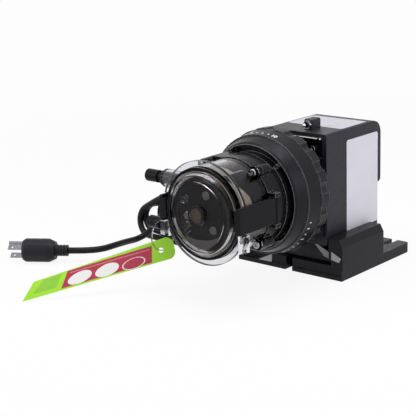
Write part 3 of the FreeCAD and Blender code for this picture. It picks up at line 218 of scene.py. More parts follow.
# The free cord's route: the run from the housing, and the lead to the plug
CORD_RADIUS = 3.5 * MM
CORD_EXIT = (-56.0, 0.0, 60.0)
CORD_RUN = [(-74.0, 0.5, 60.0), (-93.0, 2.0, 55.6), (-109.5, 4.5, 44.0), (-122.5, 6.8, 28.0),
            (-135.5, 8.8, 13.8), (-151.0, 10.6, 5.2), (-168.7, 11.8, 3.6), (-181.3, 9.4, 3.6),
            (-192.1, 2.6, 3.6), (-199.9, -7.4, 3.6), (-204.0, -19.4, 3.6), (-200.8, -26.9, 3.6),
            (-194.9, -32.8, 3.7), (-187.2, -36.0, 3.8)]
CORD_LEAD = [(-138.0, -66.0, 60.0), (-163.0, -68.0, 47.0), (-180.0, -71.0, 27.0), (-191.0, -76.0, 11.5),
             (-197.0, -88.0, 6.2), (-192.5, -108.5, 9.4), (-185.5, -133.5, 12.8), (-187.2, -150.0, 12.3),
             (-192.7, -162.5, 12.8), (-203.55, -173.35, 13.1), (-212.8, -179.3, 13.1)]

# Each turn of the hank: its y, the x, z and radius of its right and left ends, the angle at which its
# left end begins, and the point, if any, that the cord passes on the way to it
HANK_TURNS = [(-36.0, (-109.8, 32.3, 28.3), (-172.0, 30.0, 23.5), 90, []),
              (-43.2, (-112.0, 31.5, 27.0), (-176.0, 29.0, 22.0), 90, []),
              (-50.4, (-110.5, 32.0, 27.8), (-199.0, 24.5, 15.5), 90, []),
              (-57.6, (-113.0, 31.3, 26.5), (-199.5, 21.5, 17.9), 120, [(-172.0, -57.6, 57.6)])]
LAST_RIGHT_END = (-64.8, (-110.0, 32.4, 28.4))
LAYER_STEP = 7.2
POINTS_PER_END = 7


# Meshes


def link(name, data):
    piece = bpy.data.objects.new(name, data)
    bpy.context.scene.collection.objects.link(piece)
    return piece


def mesh_piece(name, points, faces, material, smooth=False):
    """A mesh object from points in millimetres, with its faces turned outward."""
    mesh = bpy.data.meshes.new(name)
    mesh.from_pydata([tuple(value * MM for value in point) for point in points], [], faces)
    outward = bmesh.new()
    outward.from_mesh(mesh)
    bmesh.ops.recalc_face_normals(outward, faces=outward.faces)
    outward.to_mesh(mesh)
    outward.free()
    mesh.materials.append(material)
    for face in mesh.polygons:
        face.use_smooth = smooth
    return link(name, mesh)


def ring_faces(base, rows, sides, joined=False):
    """The faces between rings of points, numbered from base. Joined, the last ring meets the first."""
    faces = []
    for row in range(rows if joined else rows - 1):
        low = base + row * sides
        high = base + (row + 1) % rows * sides
        for number in range(sides):
            after = (number + 1) % sides
            faces.append((low + number, low + after, high + after, high + number))
    return faces


def closed_faces(base, rows, sides):
    """The faces between rings of points, and the two that close the first and the last ring."""
    last = base + (rows - 1) * sides
    ends = [tuple(range(base, base + sides)), tuple(range(last, last + sides))]
    return ring_faces(base, rows, sides) + ends


def turned_rings(x, z, profile, sides):
    """Rings of points about a line along Y: the profile has the radius and the y of each ring."""
    points = []
    for radius, y in profile:
        for number in range(sides):
            angle = 2 * math.pi * number / sides
            points.append((x + radius * math.cos(angle), y, z + radius * math.sin(angle)))
    return points


def about_axis(angle, radius, y):
    """A point about the pump's main axis, at an angle in degrees from +X towards +Z."""
    turn = math.radians(angle)
    return (radius * math.cos(turn), y, AXIS_HEIGHT + radius * math.sin(turn))


# Materials


def map_range(tree, value, source, target):
    """The value, mapped from the source's low and high to the target's."""
    span = tree.nodes.new("ShaderNodeMapRange")
    span.inputs["From Min"].default_value = source[0]
    span.inputs["From Max"].default_value = source[1]
    span.inputs["To Min"].default_value = target[0]
    span.inputs["To Max"].default_value = target[1]
    tree.links.new(value, span.inputs["Value"])
    return span.outputs["Result"]


def socket_noise(tree, scale, low, high, detail=3.0):
    """A noise in the piece's own coordinates, its usual span mapped from low to high."""
    place = tree.nodes.new("ShaderNodeTexCoord")
    noise = tree.nodes.new("ShaderNodeTexNoise")
    noise.inputs["Scale"].default_value = scale
    noise.inputs["Detail"].default_value = detail
    tree.links.new(place.outputs["Object"], noise.inputs["Vector"])
    return map_range(tree, noise.outputs["Fac"], (0.3, 0.7), (low, high))


def bump_node(tree, waves, height, strength):
    """A fine relief from a noise, with its height in millimetres."""
    bump = tree.nodes.new("ShaderNodeBump")
    bump.inputs["Strength"].default_value = strength
    bump.inputs["Distance"].default_value = height * MM
    tree.links.new(socket_noise(tree, waves, 0.0, 1.0, detail=2.0), bump.inputs["Height"])
    tree.links.new(bump.outputs["Normal"], tree.nodes["Principled BSDF"].inputs["Normal"])
    return bump


def uneven_colour(tree, colour, spread):
    """The colour, a little lighter and darker from place to place."""
    ramp = tree.nodes.new("ShaderNodeValToRGB")
    ramp.color_ramp.elements[0].color = (*[value * (1 - spread) for value in colour], 1)
    ramp.color_ramp.elements[1].color = (*[value * (1 + spread) for value in colour], 1)
    tree.links.new(socket_noise(tree, SHADE_WAVES, 0.0, 1.0), ramp.inputs["Fac"])
    return ramp.outputs["Color"]


def plain_material(name, colour, roughness, metallic=0.0):
    material = bpy.data.materials.new(name)
    material.use_nodes = True
    shader = material.node_tree.nodes["Principled BSDF"]
    shader.inputs["Base Color"].default_value = (*colour, 1)
    shader.inputs["Roughness"].default_value = roughness
    shader.inputs["Metallic"].default_value = metallic
    return material


def worn_edges(tree, corner, colour, edge_highlight):
    """The colour, with a painted highlight colour where the softened normal leaves the face's own."""
    shape = tree.nodes.new("ShaderNodeNewGeometry")
    both = tree.nodes.new("ShaderNodeVectorMath")
    both.operation = "DOT_PRODUCT"
    tree.links.new(corner.outputs["Normal"], both.inputs[0])
    tree.links.new(shape.outputs["Normal"], both.inputs[1])
    mask = map_range(tree, both.outputs["Value"], EDGE_HIGHLIGHT_SPAN, (1.0, 0.0))
    mix = tree.nodes.new("ShaderNodeMixRGB")
    mix.inputs["Color2"].default_value = (*edge_highlight, 1)
    tree.links.new(mask, mix.inputs["Fac"])
    tree.links.new(colour, mix.inputs["Color1"])
    return mix.outputs["Color"]


def worked_material(name, colour, roughness, edge, metallic=0.0, spread=0.12, grain=GRAIN_WAVES,
                    specular=0.5, edge_highlight=None):
    """A solid material with uneven colour and gloss.

    Unless its edge, in millimetres, is 0, it also has a fine grain and soft edges, which can carry a
    painted highlight.
    """
    material = plain_material(name, colour, roughness, metallic)
    tree = material.node_tree
    shader = tree.nodes["Principled BSDF"]
    shader.inputs["Specular IOR Level"].default_value = specular
    if metallic == 0.0:
        shader.inputs["Specular Tint"].default_value = SHEEN
    gloss = socket_noise(tree, GLOSS_WAVES, roughness - GLOSS_SPREAD, roughness + GLOSS_SPREAD,
                         detail=5.0)
    tree.links.new(gloss, shader.inputs["Roughness"])
    shade = uneven_colour(tree, colour, spread)
    if edge:
        corner = tree.nodes.new("ShaderNodeBevel")
        corner.samples = 4
        corner.inputs["Radius"].default_value = edge * MM
        bump = bump_node(tree, grain, GRAIN_HEIGHT, GRAIN_STRENGTH)
        tree.links.new(corner.outputs["Normal"], bump.inputs["Normal"])
        # Painted highlight along the softened edges
        if edge_highlight:
            shade = worn_edges(tree, corner, shade, edge_highlight)
    tree.links.new(shade, shader.inputs["Base Color"])
    return material


def clear_material(name, tint, roughness, bend, sheen):
    """Clear moulded plastic with a slight tint."""
    material = plain_material(name, tint, roughness)
    tree = material.node_tree
    shader = tree.nodes["Principled BSDF"]
    shader.inputs["Transmission Weight"].default_value = 1.0
    shader.inputs["IOR"].default_value = bend
    shader.inputs["Specular Tint"].default_value = (*sheen, 1)
    bump_node(tree, RIPPLE_WAVES, RIPPLE_HEIGHT, RIPPLE_STRENGTH)
    return material


# Camera, lamps and floor


def add_camera():
    azimuth = math.radians(VIEW_AZIMUTH)
    elevation = math.radians(VIEW_ELEVATION)
    back = Vector((math.sin(azimuth) * math.cos(elevation), -math.cos(azimuth) * math.cos(elevation),
                   math.sin(elevation)))
    level = Vector((math.cos(azimuth), math.sin(azimuth), 0))
    above = back.cross(level)
    roll = math.radians(VIEW_ROLL)
    right = level * math.cos(roll) + above * math.sin(roll)
    up = above * math.cos(roll) - level * math.sin(roll)
    turn = Matrix((right, up, back)).transposed()
    data = bpy.data.cameras.new("camera")
    data.lens = LENS
    data.sensor_width = SENSOR
    camera = link("camera", data)
    camera.matrix_world = Matrix.Translation(CAMERA_PLACE) @ turn.to_4x4()
    bpy.context.scene.camera = camera


def background_rays(tree):
    """1 for the rays that show the background: the camera's, reflected and transmitted ones."""
    path = tree.nodes.new("ShaderNodeLightPath")
    seen = path.outputs["Is Camera Ray"]
    for kind in ("Is Glossy Ray", "Is Transmission Ray"):
        both = tree.nodes.new("ShaderNodeMath")
        both.operation = "MAXIMUM"
        tree.links.new(seen, both.inputs[0])
        tree.links.new(path.outputs[kind], both.inputs[1])
        seen = both.outputs[0]
    return seen


def mix_shaders(tree, share, first, second, target):
    """The first shader where the share is 0 and the second where it is 1, to the target's surface."""
    mix = tree.nodes.new("ShaderNodeMixShader")
    tree.links.new(share, mix.inputs["Fac"])
    tree.links.new(first.outputs[0], mix.inputs[1])
    tree.links.new(second.outputs[0], mix.inputs[2])
    tree.links.new(mix.outputs[0], target.inputs["Surface"])


def floor_material():
    """A pale floor that keeps the object's shadow and turns white away from it."""
    material = plain_material("floor_white", FLOOR_COLOUR, 0.9)
    tree = material.node_tree
    place = tree.nodes.new("ShaderNodeTexCoord")
    distance = tree.nodes.new("ShaderNodeVectorMath")
    distance.operation = "LENGTH"
    tree.links.new(place.outputs["Object"], distance.inputs[0])
    share = tree.nodes.new("ShaderNodeMath")
    share.operation = "MULTIPLY"
    tree.links.new(background_rays(tree), share.inputs[0])
    tree.links.new(map_range(tree, distance.outputs["Value"], FLOOR_FADE, FLOOR_SHARE), share.inputs[1])
    white = tree.nodes.new("ShaderNodeEmission")
    white.inputs["Color"].default_value = WHITE
    mix_shaders(tree, share.outputs[0], tree.nodes["Principled BSDF"], white,
                tree.nodes["Material Output"])
    return material


def add_floor():
    corners = [(x * FLOOR_HALF, y * FLOOR_HALF, 0) for x, y in ((-1, -1), (1, -1), (1, 1), (-1, 1))]
    floor = mesh_piece("floor", corners, [(0, 1, 2, 3)], floor_material())


def add_light(name, place, aim, size, power):
    data = bpy.data.lights.new(name, "AREA")
    data.shape = "RECTANGLE"
    data.size = size[0]
    data.size_y = size[1]
    data.energy = power
    light = link(name, data)
    light.location = place
    light.rotation_euler = (Vector(aim) - Vector(place)).to_track_quat("-Z", "Y").to_euler()


def add_world():
    """White to the camera and in reflections, and a softer light from all round for the rest."""
    world = bpy.data.worlds.new("studio")
    world.use_nodes = True
    tree = world.node_tree
    light = tree.nodes["Background"]
    light.inputs["Color"].default_value = SOFT_LIGHT
    light.inputs["Strength"].default_value = SOFT_STRENGTH
    white = tree.nodes.new("ShaderNodeBackground")
    white.inputs["Color"].default_value = WHITE
    mix_shaders(tree, background_rays(tree), light, white, tree.nodes["World Output"])
    bpy.context.scene.world = world


# The cord


def hank_end(end, y_from, y_to, start, stop):
    """Control points round one end of a turn, from one angle to another, in degrees.

    They stand a little outside the circle, because the spline touches the middle of each run between
    them.
    """
    x, z, radius = end
    step = (stop - start) / POINTS_PER_END
    reach = radius / math.cos(math.radians(step / 2))
    points = []
    for number in range(POINTS_PER_END):
        share = (number + 0.5) / POINTS_PER_END
        angle = math.radians(start + share * (stop - start))
        points.append((x + reach * math.cos(angle), y_from + share * (y_to - y_from),
                       z + reach * math.sin(angle)))
    return points


def hank_points():
    """Control points of the hank's turns, from the one nearest the housing to the last right end."""
    points = []
    for y, right, left, start, shoulder in HANK_TURNS:
        points += hank_end(right, y, y, -90, 90)
        points += shoulder
        points += hank_end(left, y, y - LAYER_STEP, start, 270)
    y, right = LAST_RIGHT_END
    return points + hank_end(right, y, y, -90, 90)


def make_cord(material):
    route = [CORD_EXIT] + CORD_RUN + hank_points() + CORD_LEAD
    curve = bpy.data.curves.new("power_cord", "CURVE")
    curve.dimensions = "3D"
    curve.bevel_depth = CORD_RADIUS
    curve.bevel_resolution = 6
    curve.resolution_u = 10
    curve.use_fill_caps = True
    spline = curve.splines.new("NURBS")
    spline.points.add(len(route) - 1)
    for point, place in zip(spline.points, route):
        point.co = (place[0] * MM, place[1] * MM, place[2] * MM, 1)
    spline.order_u = 3
    spline.use_endpoint_u = True
    curve.materials.append(material)
    cord = link("power_cord", curve)
    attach(cord, "pump")
    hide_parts("cord_run", "cord_hank", "cord_lead")


# The labels, the tag and the dial's scale


def rounded_outline(half_width, half_height, corner):
    """A flat outline with rounded corners: its points, its one face and its border."""
    steps = 6
    points = []
    for quarter, (side, end) in enumerate(((1, 1), (-1, 1), (-1, -1), (1, -1))):
        for number in range(steps + 1):
            angle = math.radians(90 * (quarter + number / steps))
            points.append((side * (half_width - corner) + corner * math.cos(angle),
                           end * (half_height - corner) + corner * math.sin(angle)))
    border = list(range(len(points)))
    return points, [tuple(border)], border


def plate(name, flat, place, material, lift, thickness):
    """A thin closed plate: place(u, v, height) gives the point of the surface that it lies on."""
    outline, inside, border = flat
    count = len(outline)
    points = [place(u, v, lift + thickness) for u, v in outline]
    points += [place(u, v, lift) for u, v in outline]
    faces = list(inside)
    faces += [tuple(corner + count for corner in reversed(face)) for face in inside]
    for first, second in zip(border, border[1:] + border[:1]):
        faces.append((second, first, first + count, second + count))
    return mesh_piece(name, points, faces, material)


def on_side(u, v, height):
    return (HOUSING_RIGHT + height, SIDE_LABEL_MIDDLE[0] + u, SIDE_LABEL_MIDDLE[1] + v)


def on_top(u, v, height):
    return (TOP_LABEL_MIDDLE[0] + u, TOP_LABEL_MIDDLE[1] + v, HOUSING_TOP + height)


def add_labels():
    """The blank labels on the housing's right side and top."""
    for name, half, place, material in (("side_label", SIDE_LABEL_HALF, on_side, label_white),
                                        ("top_label", TOP_LABEL_HALF, on_top, label_pale)):
        flat = rounded_outline(*half, LABEL_CORNER)
        label = plate(name, flat, place, material, lift=0.0, thickness=LABEL_THICKNESS)
        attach(label, "pump")


def on_tag(u, v, height):
    """A point on the tag: u from 0 at its low end to 1 at its high end, v from -1 to 1 across it."""
    along = (Vector(TAG_HIGH_END) - Vector(TAG_LOW_END)).normalized()
    low = Vector(TAG_LOW_EDGE).normalized()
    high = Vector(TAG_HIGH_EDGE).normalized()
    low_point = Vector(TAG_LOW_END) + low * (v * TAG_HALF_WIDTH)
    high_point = Vector(TAG_HIGH_END) + high * (v * TAG_HALF_WIDTH)
    outward = along.cross(low.lerp(high, u)).normalized()
    return tuple(low_point.lerp(high_point, u) + outward * height)


def tag_panel(corners):
    """A four-cornered area on the tag, in small cells that follow the tag's twist."""
    columns = 14
    rows = 5
    first, second, third, fourth = corners
    points = []
    for row in range(rows + 1):
        up = row / rows
        for column in range(columns + 1):
            along = column / columns
            low = [a + along * (b - a) for a, b in zip(first, second)]
            high = [a + along * (b - a) for a, b in zip(fourth, third)]
            points.append((low[0] + up * (high[0] - low[0]), low[1] + up * (high[1] - low[1])))
    wide = columns + 1
    faces = []
    for row in range(rows):
        for column in range(columns):
            corner = row * wide + column
            faces.append((corner, corner + 1, corner + 1 + wide, corner + wide))
    border = list(range(columns)) + [row * wide + columns for row in range(rows)]
    border += [rows * wide + column for column in range(columns, 0, -1)]
    border += [row * wide for row in range(rows, 0, -1)]
    return points, faces, border


def tag_oval(middle, half):
    """An oval on the tag, in three rings about its middle."""
    around = 32
    rings = 3
    points = [middle]
    for ring in range(1, rings + 1):
        for number in range(around):
            angle = math.radians(number * 360 / around)
            points.append((middle[0] + ring / rings * half[0] * math.cos(angle),
                           middle[1] + ring / rings * half[1] * math.sin(angle)))
    faces = [(0, 1 + number, 1 + (number + 1) % around) for number in range(around)]
    faces += ring_faces(1, rings, around)
    return points, faces, list(range(1 + (rings - 1) * around, 1 + rings * around))


def add_tag_print(side, name):
    """The plain panels and ovals printed on one side of the tag, placed in its own u and v."""
    def place(u, v, height):
        return on_tag(u, v, side * (TAG_HALF_THICKNESS + height))

    panel = tag_panel([(0.245, -0.80), (0.84, -0.86), (0.85, 0.66), (0.245, 0.93)])
    block = tag_panel([(0.045, -0.45), (0.205, -0.5), (0.205, 0.85), (0.075, 0.8)])
    line = tag_panel([(0.27, 0.6), (0.83, 0.36), (0.83, 0.44), (0.27, 0.7)])
    for part, flat, material, lift, thickness in (
            ("panel", panel, tag_magenta, 0.0, 0.06),
            ("block", block, tag_dark_green, 0.0, 0.05),
            ("oval_1", tag_oval((0.355, -0.17), (0.08, 0.62)), tag_white, 0.05, 0.05),
            ("oval_2", tag_oval((0.54, -0.26), (0.08, 0.6)), tag_white, 0.05, 0.05),
            ("oval_3", tag_oval((0.72, -0.42), (0.078, 0.52)), tag_white, 0.05, 0.05),
            ("oval_4", tag_oval((0.72, -0.42), (0.070, 0.47)), tag_magenta, 0.09, 0.05),
            ("line", line, tag_pink, 0.05, 0.04)):
        piece = plate(name + "_" + part, flat, place, material, lift, thickness)
        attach(piece, "pump")


def band_radius(y):
    """The radius of the dial's band, which is a cone."""
    return BAND_RADIUS_BACK + (y - BAND_BACK) * BAND_SLOPE


def on_band(angle, u, v, height):
    """A point on the dial's band: u to the right and v to the back from a mark at an angle."""
    y = MARK_Y + v
    return about_axis(angle - math.degrees(u / band_radius(MARK_Y)), band_radius(y) + height, y)


def number_mesh(text):
    """The points, in millimetres, and the faces of a number drawn flat."""
    curve = bpy.data.curves.new("number", "FONT")
    curve.body = text
    curve.size = NUMBER_SIZE
    curve.align_x = "CENTER"
    curve.align_y = "CENTER"
    curve.extrude = NUMBER_HALF_DEPTH
    curve.offset = NUMBER_WEIGHT
    writing = link("number", curve)
    depsgraph = bpy.context.evaluated_depsgraph_get()
    mesh = bpy.data.meshes.new_from_object(writing.evaluated_get(depsgraph))
    points = [tuple(vertex.co) for vertex in mesh.vertices]
    faces = [tuple(face.vertices) for face in mesh.polygons]
    bpy.data.objects.remove(writing)
    return points, faces


def add_dial_marks():
    """The numbers from 1 round the dial's band, and the marks between them."""
    points = []
    faces = []
    for number in range(1, NUMBERS + 1):
        angle = SCALE_TEN + (NUMBERS - number) * NUMBER_STEP
        flat, sides = number_mesh(str(number))
        base = len(points)
        points += [on_band(angle, u, v, w) for u, v, w in flat]
        faces += [tuple(base + corner for corner in side) for side in sides]
    for step in range(NUMBERS * MARKS_PER_NUMBER):
        place = step % MARKS_PER_NUMBER
        if place:
            angle = SCALE_TEN + step * NUMBER_STEP / MARKS_PER_NUMBER
            half = MIDDLE_MARK_HALF_LENGTH if 2 * place == MARKS_PER_NUMBER else MARK_HALF_LENGTH
            faces += closed_faces(len(points), 2, 4)
            for height in (MARK_HALF_DEPTH, -MARK_HALF_DEPTH):
                for side, end in ((-1, -1), (1, -1), (1, 1), (-1, 1)):
                    points.append(on_band(angle, side * MARK_HALF_WIDTH, end * half, height))
    marks = mesh_piece("dial_marks", points, faces, print_white)
    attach(marks, "dial")


# The tube and the clear head


def tube_stations():
    """Places along the squeezed tube: x and z from the axis, the way outward, its half sizes, and y."""
    bend_z = PORT_HEIGHT + PORT_BEND
    bend_x = -math.sqrt((TUBE_CIRCLE + PORT_BEND) ** 2 - bend_z ** 2)
    join = math.atan2(bend_z, bend_x)
    port_steps = 4
    bend_steps = 8
    wall_steps = 64
    upper = []
    for number in range(port_steps):
        x = PORT_END + number * (bend_x - PORT_END) / port_steps
        upper.append((x, PORT_HEIGHT, -math.pi / 2, TUBE_RADIUS, TUBE_RADIUS))
    swing = join - math.pi / 2
    for number in range(bend_steps):
        angle = -math.pi / 2 + swing * number / bend_steps
        upper.append((bend_x + PORT_BEND * math.cos(angle), bend_z + PORT_BEND * math.sin(angle), angle,
                      TUBE_RADIUS, TUBE_RADIUS))
    lower = [(x, -z, -angle, a, b) for x, z, angle, a, b in reversed(upper)]
    around = []
    for number in range(wall_steps + 1):
        angle = join - 2 * join * number / wall_steps
        share = (abs(math.degrees(angle)) - FLAT_UP_TO) / (ROUND_FROM - FLAT_UP_TO)
        share = min(max(share, 0.0), 1.0)
        share = share * share * (3 - 2 * share)
        half = FLAT_HALF + (TUBE_RADIUS - FLAT_HALF) * share
        wide = FLAT_WIDE + (TUBE_RADIUS - FLAT_WIDE) * share
        radius = INSIDE_WALL_RADIUS - half
        around.append((radius * math.cos(angle), radius * math.sin(angle), angle + math.pi, half, wide,
                       TUBE_Y - FLAT_FORWARD * (1 - share)))
    return [place + (TUBE_Y,) for place in upper] + around + [place + (TUBE_Y,) for place in lower]


def add_tube():
    """The peristaltic tube, pressed flat along the wall, with its grey ends in the smoky ports."""
    stations = tube_stations()
    sides = 24
    points = []
    for x, z, angle, half, wide, y in stations:
        for number in range(sides):
            turn = 2 * math.pi * number / sides
            out = half * math.copysign(abs(math.cos(turn)) ** TUBE_SQUARENESS, math.cos(turn))
            across = wide * math.sin(turn)
            points.append((x + out * math.cos(angle), y + across,
                           AXIS_HEIGHT + z + out * math.sin(angle)))
    faces = ring_faces(0, len(stations), sides)
    tube = mesh_piece("squeezed_tube", points, faces, tube_beige, smooth=True)
    tube.data.materials.append(tube_end_grey)
    for face in tube.data.polygons:
        if face.center.x < SMOKY_END_X * MM:
            face.material_index = 1
    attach(tube, "pump")
    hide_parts("peristaltic_tube")


def band(rows):
    """A long flat area from rows across it: each has its angle and the places of its two edges."""
    points = []
    for angle, first, second in rows:
        points += [(angle, first), (angle, second)]
    last = len(points) - 2
    faces = [(low, low + 1, low + 3, low + 2) for low in range(0, last, 2)]
    border = list(range(0, last + 2, 2)) + list(range(last + 1, 0, -2))
    return points, faces, border


def wall_band(front, back, steps):
    """A band round the wall: its front edge runs through corners (angle, y), and its back is level."""
    start = front[0][0]
    stop = front[-1][0]
    rows = []
    for number in range(steps + 1):
        angle = start + (stop - start) * number / steps
        before = [corner for corner in front if corner[0] <= angle][-1]
        after = [corner for corner in front if corner[0] >= angle][0]
        share = (angle - before[0]) / max(after[0] - before[0], 0.001)
        rows.append((angle, before[1] + share * (after[1] - before[1]), back))
    return band(rows)


def on_wall(angle, y, height):
    """A point on the inside of the clear wall, towards the wall with height."""
    return about_axis(angle, INSIDE_WALL_RADIUS + WALL_GAP + height, y)


def add_guide():
    """The black lining behind the clear wall, cut away for the tube, two dark strips, which are painted
    shade lines over the tube, and its pale rim, a painted highlight.
    """
    for name, front, back, steps, material, lift, thickness in (
            ("guide_lining", LINING_FRONT, LINING_BACK, BAND_STEPS, lining_black, 0.0, 0.2),
            ("guide_shade_line_1", SHADE_LINE_1_FRONT, SHADE_LINE_1_BACK, BAND_STEPS, head_black, 0.0, 0.15),
            ("guide_shade_line_2", SHADE_LINE_2_FRONT, SHADE_LINE_2_BACK, BAND_STEPS, head_black, 0.0, 0.15),
            ("guide_highlight", LINING_HIGHLIGHT_FRONT, LINING_HIGHLIGHT_BACK, 2, lining_highlight_pale, 0.02, 0.2)):
        piece = plate(name, wall_band(front, back, steps), on_wall, material, lift, thickness)
        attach(piece, "pump")


def behind_flange(angle, radius, height):
    """A point behind the clear flange, away from it with height."""
    return about_axis(angle, radius, FLANGE_BACK + FLANGE_GAP + height)


def between(ends, share):
    """The value at a share of the way from the first end to the second."""
    return ends[0] + (ends[1] - ends[0]) * share


def add_tube_edge():
    """The edge of the tube that shows behind the clear flange, narrow at its upper end."""
    rows = []
    for number in range(TUBE_EDGE_STEPS + 1):
        share = number / TUBE_EDGE_STEPS
        rows.append((between(TUBE_EDGE_SPAN, share), between(TUBE_EDGE_INNER, share),
                     between(TUBE_EDGE_OUTER, share)))
    edge = plate("tube_edge", band(rows), behind_flange, tube_beige, lift=0.0, thickness=0.25)
    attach(edge, "pump")


def inside_cover(angle, radius, height):
    """A point on the inside of the clear cover, away from it with height."""
    return about_axis(angle, radius, COVER_INSIDE + height)


def add_cover_frost():
    """A pale crescent low inside the cover, a painted reflection, pointed at both ends."""
    rows = []
    for number in range(BAND_STEPS + 1):
        share = number / BAND_STEPS
        half = REFLECTION_TIP_HALF + REFLECTION_HALF * math.sin(math.pi * share)
        rows.append((between(REFLECTION_SPAN, share), REFLECTION_RADIUS - half, REFLECTION_RADIUS + half))
    reflection_piece = plate("cover_reflection", band(rows), inside_cover, reflection_grey, lift=0.0, thickness=0.2)
    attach(reflection_piece, "pump")


def add_cover_ribs():
    """Short clear ribs inside the cover, on its left side."""
    points = []
    faces = []
    for angle, inner, outer, deep in COVER_RIBS:
        turn = math.radians(angle)
        along = (math.cos(turn), math.sin(turn))
        across = (-math.sin(turn), math.cos(turn))
        faces += closed_faces(len(points), 2, 4)
        for y, half in ((COVER_INSIDE, RIB_HALF_AT_FOOT), (COVER_INSIDE + deep, RIB_HALF_AT_TIP)):
            for radius, side in ((inner, -1), (inner, 1), (outer, 1), (outer, -1)):
                points.append((radius * along[0] + side * half * across[0], y,
                               AXIS_HEIGHT + radius * along[1] + side * half * across[1]))
    ribs = mesh_piece("cover_ribs", points, faces, clear_rib)
    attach(ribs, "pump")


def add_pin_caps():
    """A domed washer on the end of each roller pin."""
    sides = 32
    points = []
    faces = []
    for number in range(ROLLERS):
        turn = math.radians(PIN_ANGLE - 360 / ROLLERS * number)
        faces += closed_faces(len(points), len(PIN_CAP), sides)
        points += turned_rings(PIN_CIRCLE * math.cos(turn), AXIS_HEIGHT + PIN_CIRCLE * math.sin(turn),
                               PIN_CAP, sides)
    caps = mesh_piece("pin_caps", points, faces, pin_grey)
    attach(caps, "roller_assembly")


def add_beads(name, arcs, material, body):
    """Round beads along arcs about the axis: each has its y, radius, half width, start and sweep."""
    sides = 8
    points = []
    faces = []
    for y, radius, half, start, sweep in arcs:
        steps = int(sweep / BEAD_STEP)
        whole = sweep == 360
        rows = steps if whole else steps + 1
        base = len(points)
        if whole:
            faces += ring_faces(base, rows, sides, joined=True)
        else:
            faces += closed_faces(base, rows, sides)
        for step in range(rows):
            for number in range(sides):
                around = 2 * math.pi * number / sides
                points.append(about_axis(start + sweep * step / steps, radius + half * math.cos(around),
                                         y + half * math.sin(around)))
    beads = mesh_piece(name, points, faces, material, smooth=True)
    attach(beads, body)


# The painted lit faces in front, the switch's nut and the painted highlight on the lip


def on_gusset(u, v, height):
    """A point on the sloping face of the bracket's left gusset."""
    return (u, GUSSET_FOOT[0] + (v - GUSSET_FOOT[1]) * GUSSET_LEAN + GUSSET_OUTWARD[0] * height,
            v + GUSSET_OUTWARD[1] * height)


def on_rail_front(u, v, height):
    return (u, RAIL_FRONT - height, v)


def on_foot_front(u, v, height):
    return (u, FOOT_FRONT - height, v)


def add_facets():
    """The painted lit faces in front: on the gusset, the right rail and the foot."""
    for name, corners, place, body, slot in (
            ("gusset_lit_facet", GUSSET_LIT_FACET, on_gusset, "bracket", "bracket_plastic"),
            ("rail_lit_facet", RAIL_LIT_FACET, on_rail_front, "bracket", "bracket_plastic"),
            ("foot_lit_facet", FOOT_LIT_FACET, on_foot_front, "pump", "housing_plastic")):
        border = list(range(len(corners)))
        flat = (corners, [tuple(border)], border)
        lit_face = plate(name, flat, place, lit_facet_grey, lift=0.0, thickness=0.2)
        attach(lit_face, body)


def add_switch_nut():
    """A hexagon nut round the switch's bush."""
    x, y, z = SWITCH_BUSH
    sides = 6
    profile = [(radius, y - forward) for radius, forward in SWITCH_NUT]
    faces = ring_faces(0, len(profile), sides, joined=True)
    nut = mesh_piece("switch_nut", turned_rings(x, z, profile, sides), faces, steel)
    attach(nut, "pump")


def add_fascia_trim():
    """A pale bead along the lip over the opening in the housing's front, and its end stud: a painted
    highlight.
    """
    sides = 12
    y, z = LIP_HIGHLIGHT_PLACE
    points = []
    faces = []
    for left, right, half in LIP_HIGHLIGHT_BEADS:
        stations = ((left, 0.4), (left + 0.4, 0.85), (left + 0.9, 1.0),
                    (right - 0.9, 1.0), (right - 0.4, 0.85), (right, 0.4))
        faces += closed_faces(len(points), len(stations), sides)
        for x, share in stations:
            for number in range(sides):
                turn = 2 * math.pi * number / sides
                points.append((x, y + half * share * math.cos(turn), z + half * share * math.sin(turn)))
    lip_highlight_piece = mesh_piece("lip_highlight_bead", points, faces, lip_highlight_grey, smooth=True)
    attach(lip_highlight_piece, "pump")


def paint(material, *names):
    """The material on the part's own pieces of these names."""
    for name in names:
        node = nodes[name]
        node.data.materials.clear()
        node.data.materials.append(material)


bpy.context.scene.view_settings.view_transform = "Standard"
add_camera()
add_world()
add_floor()
for lamp in LAMPS:
    add_light(*lamp)

# Black mouldings, rubber and linings
# The last colour of most of these is a painted highlight along the softened edges, brightest on dial and
# case
housing_black = worked_material("housing_black", (0.012, 0.0112, 0.015), 0.42, edge=0.8, specular=0.3,
                                edge_highlight=(0.05, 0.048, 0.055))
bracket_black = worked_material("bracket_black", (0.006, 0.006, 0.0075), 0.34, edge=0.7,
                                specular=0.17, edge_highlight=(0.06, 0.058, 0.066))
dial_black = worked_material("dial_black", (0.006, 0.006, 0.007), 0.32, edge=0.8, specular=0.2,
                             edge_highlight=(0.26, 0.255, 0.27))
drum_black = worked_material("drum_black", (0.005, 0.005, 0.006), 0.26, edge=0.8, specular=0.13,
                             edge_highlight=(0.42, 0.41, 0.42))
latch_black = worked_material("latch_black", (0.005, 0.005, 0.006), 0.30, edge=0.7, specular=0.1,
                              edge_highlight=(0.03, 0.03, 0.033))
nut_black = worked_material("nut_black", (0.004, 0.004, 0.005), 0.34, edge=0.5, specular=0.12,
                            edge_highlight=(0.03, 0.03, 0.033))
cord_black = worked_material("cord_black", (0.006, 0.006, 0.007), 0.42, edge=0.3, grain=RUBBER_WAVES,
                             specular=0.18)
plug_black = worked_material("plug_black", (0.010, 0.010, 0.012), 0.46, edge=1.0, grain=RUBBER_WAVES,
                             specular=0.22, edge_highlight=(0.03, 0.03, 0.033))
head_black = worked_material("head_black", (0.003, 0.0028, 0.0032), 0.35, edge=0.0, specular=0.07)
lining_black = worked_material("lining_black", (0.002, 0.0019, 0.0022), 0.6, edge=0.0, specular=0.0)
